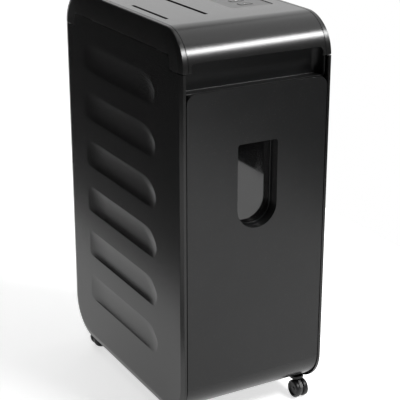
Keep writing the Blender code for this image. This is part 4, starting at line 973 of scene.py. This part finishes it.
def cross_screw(name, x, z, radius=0.0036, height=0.0012):
    """A domed head with a cross recess, standing on the back panel."""
    dome = [(0.0, -0.001), (radius, -0.001), (radius, 0.0), (radius * 0.93, height * 0.45),
            (radius * 0.72, height * 0.8), (radius * 0.4, height * 0.97), (0.0, height)]
    base = BACK_FACE - height
    head = lathe(name, dome, (x, base, z), "Y", 32)
    a, b = radius * 0.52, radius * 0.13
    bars = [oblong(x - p, z - q, x + p, z + q, 0.0001, 1) for p, q in ((a, b), (b, a))]
    carve(head, *[prism("bar", "XZ", bar, base + height * 0.3, base + height + 0.001) for bar in bars])
    soften(head, 0.0001, 2, 40)
    return dress(head, "cabinet", "zinc_plated_steel", STEEL)


SCREW_X = BACK_HIGH.x - 0.014
made = []
heights = (BACK_LOW.z + 0.045, (BACK_LOW.z + BACK_HIGH.z) / 2, BACK_HIGH.z - 0.020)
for level, height in enumerate(heights):
    for side, word in ((-1, "left"), (1, "right")):
        made.append(cross_screw("screw_%s_%d" % (word, level + 1), side * SCREW_X, height))
print("screws:", len(made), "on the face at y =", round(BACK_FACE, 4))

# %% [markdown]
# ## The floor and the light
# The machine stands on a roll of white paper, about a metre wide, which curves up behind it. Satin black
# plastic shows hardly any colour of its own: what we see in it is the studio. So the paper's width is what
# draws the lighter lower part of the side and the grey wedge in the window, and the dark room past its
# edges is what keeps the plastic black. A white card on the floor at the left shows in the narrow border
# at the panel's front.
# Three soft boxes do the rest. A long one in front gives the bright band along the lip, a large one
# overhead the softer band above it, and a small one the glint on the left shoulder.


# %% Floor
def paper_roll():
    """A strip of white paper on the floor that curves up behind."""
    shape = bmesh.new()
    left, right, front, rear, bend, high = -0.42, 0.72, -4.0, 1.6, 0.9, 3.0
    line = [(front, 0.0), (rear, 0.0)]
    line += [(rear + bend * math.sin(a), bend * (1 - math.cos(a)))
             for a in (math.radians(6 * k) for k in range(1, 16))]
    line.append((rear + bend, high))
    rows = [[shape.verts.new((x, y, z)) for x in (left, right)] for y, z in line]
    for lower, upper in zip(rows, rows[1:]):
        shape.faces.new((lower[0], lower[1], upper[1], upper[0]))
    roll = piece_from(shape, "paper_roll")
    roll.data.shade_smooth()
    return roll


def left_card():
    """A bright card on the floor at the left, which the panel's front border mirrors."""
    shape = bmesh.new()
    corners = ((-1.6, -1.6), (-0.43, -1.6), (-0.43, -0.1), (-0.75, 0.15), (-1.6, 0.8))
    shape.faces.new([shape.verts.new((x, y, 0.0)) for x, y in corners])
    return piece_from(shape, "left_card")


def paper_finish(name, glow):
    material, wire, shader = new_finish(name, Roughness=0.9, Emission_Strength=glow)
    fibre = wire.noise(60, 3)
    white = fibre.tint(grey(0.90), grey(0.93))
    feed(wire, shader, Base_Color=white, Emission_Color=white)
    return material


for make, name, glow in ((paper_roll, "white_paper", 0.74), (left_card, "white_card", 1.7)):
    sheet = make()
    sheet.data.materials.append(paper_finish(name, glow))
    sheet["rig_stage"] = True
    print("stage:", sheet.name)


# %% Lights and surroundings
def soft_box(name, place, target, size, power):
    light = bpy.data.lights.new(name, "AREA")
    light.shape, light.size, light.size_y, light.energy = "RECTANGLE", size[0], size[1], power
    lamp = bpy.data.objects.new(name, light)
    lamp.location = place
    lamp.rotation_euler = (Vector(target) - Vector(place)).to_track_quat("-Z", "Y").to_euler()
    bpy.context.scene.collection.objects.link(lamp)
    return lamp


soft_box("front_box", (1.17, -1.80, 2.25), (0.0, -0.2, 0.6), (1.5, 0.40), 72)
soft_box("overhead_box", (0.8, -0.1, 2.2), (0.0, -0.2, 0.68), (1.6, 1.9), 11)
soft_box("shoulder_box", (-0.75, -0.35, 2.3), (0.0, -0.2, 0.68), (0.5, 0.5), 3.5)

world = bpy.data.worlds.new("studio")
bpy.context.scene.world = world
world.use_nodes = True
air = Wire(world.node_tree)
backdrop = world.node_tree.nodes["Background"]
seen = air.node("LightPath", output="Is Camera Ray")
height = air.node("SeparateXYZ", {}, {"Vector": air.node("TexCoord", output="Generated")}, 2)
behind = air.node("SeparateXYZ", {}, {"Vector": air.node("TexCoord", output="Generated")}, 1)
right = air.node("SeparateXYZ", {}, {"Vector": air.node("TexCoord", output="Generated")}, 0)
card = behind.step(0.25, 0.65) * right.step(0.0, 0.3) * height.step(-0.05, 0.1) * (1 - height.step(0.6, 0.85))
room = 0.02 + card * 1.1
air.tree.links.new((seen + (1 - seen) * room).socket, backdrop.inputs["Strength"])
backdrop.inputs["Color"].default_value = (1, 1, 1, 1)
bpy.context.scene.view_settings.view_transform = "Standard"

# %% [markdown]
# The finished machine has to fill the same box as the engineering model. The cell below prints how far the
# finished pieces reach past that box, below and above, in millimetres.

# %% Sizes and finish
low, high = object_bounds()
for word, growth in (("below", cad_low - low), ("above", high - cad_high)):
    print("grown", word, "in mm:", [round(v * 1000, 2) for v in growth])
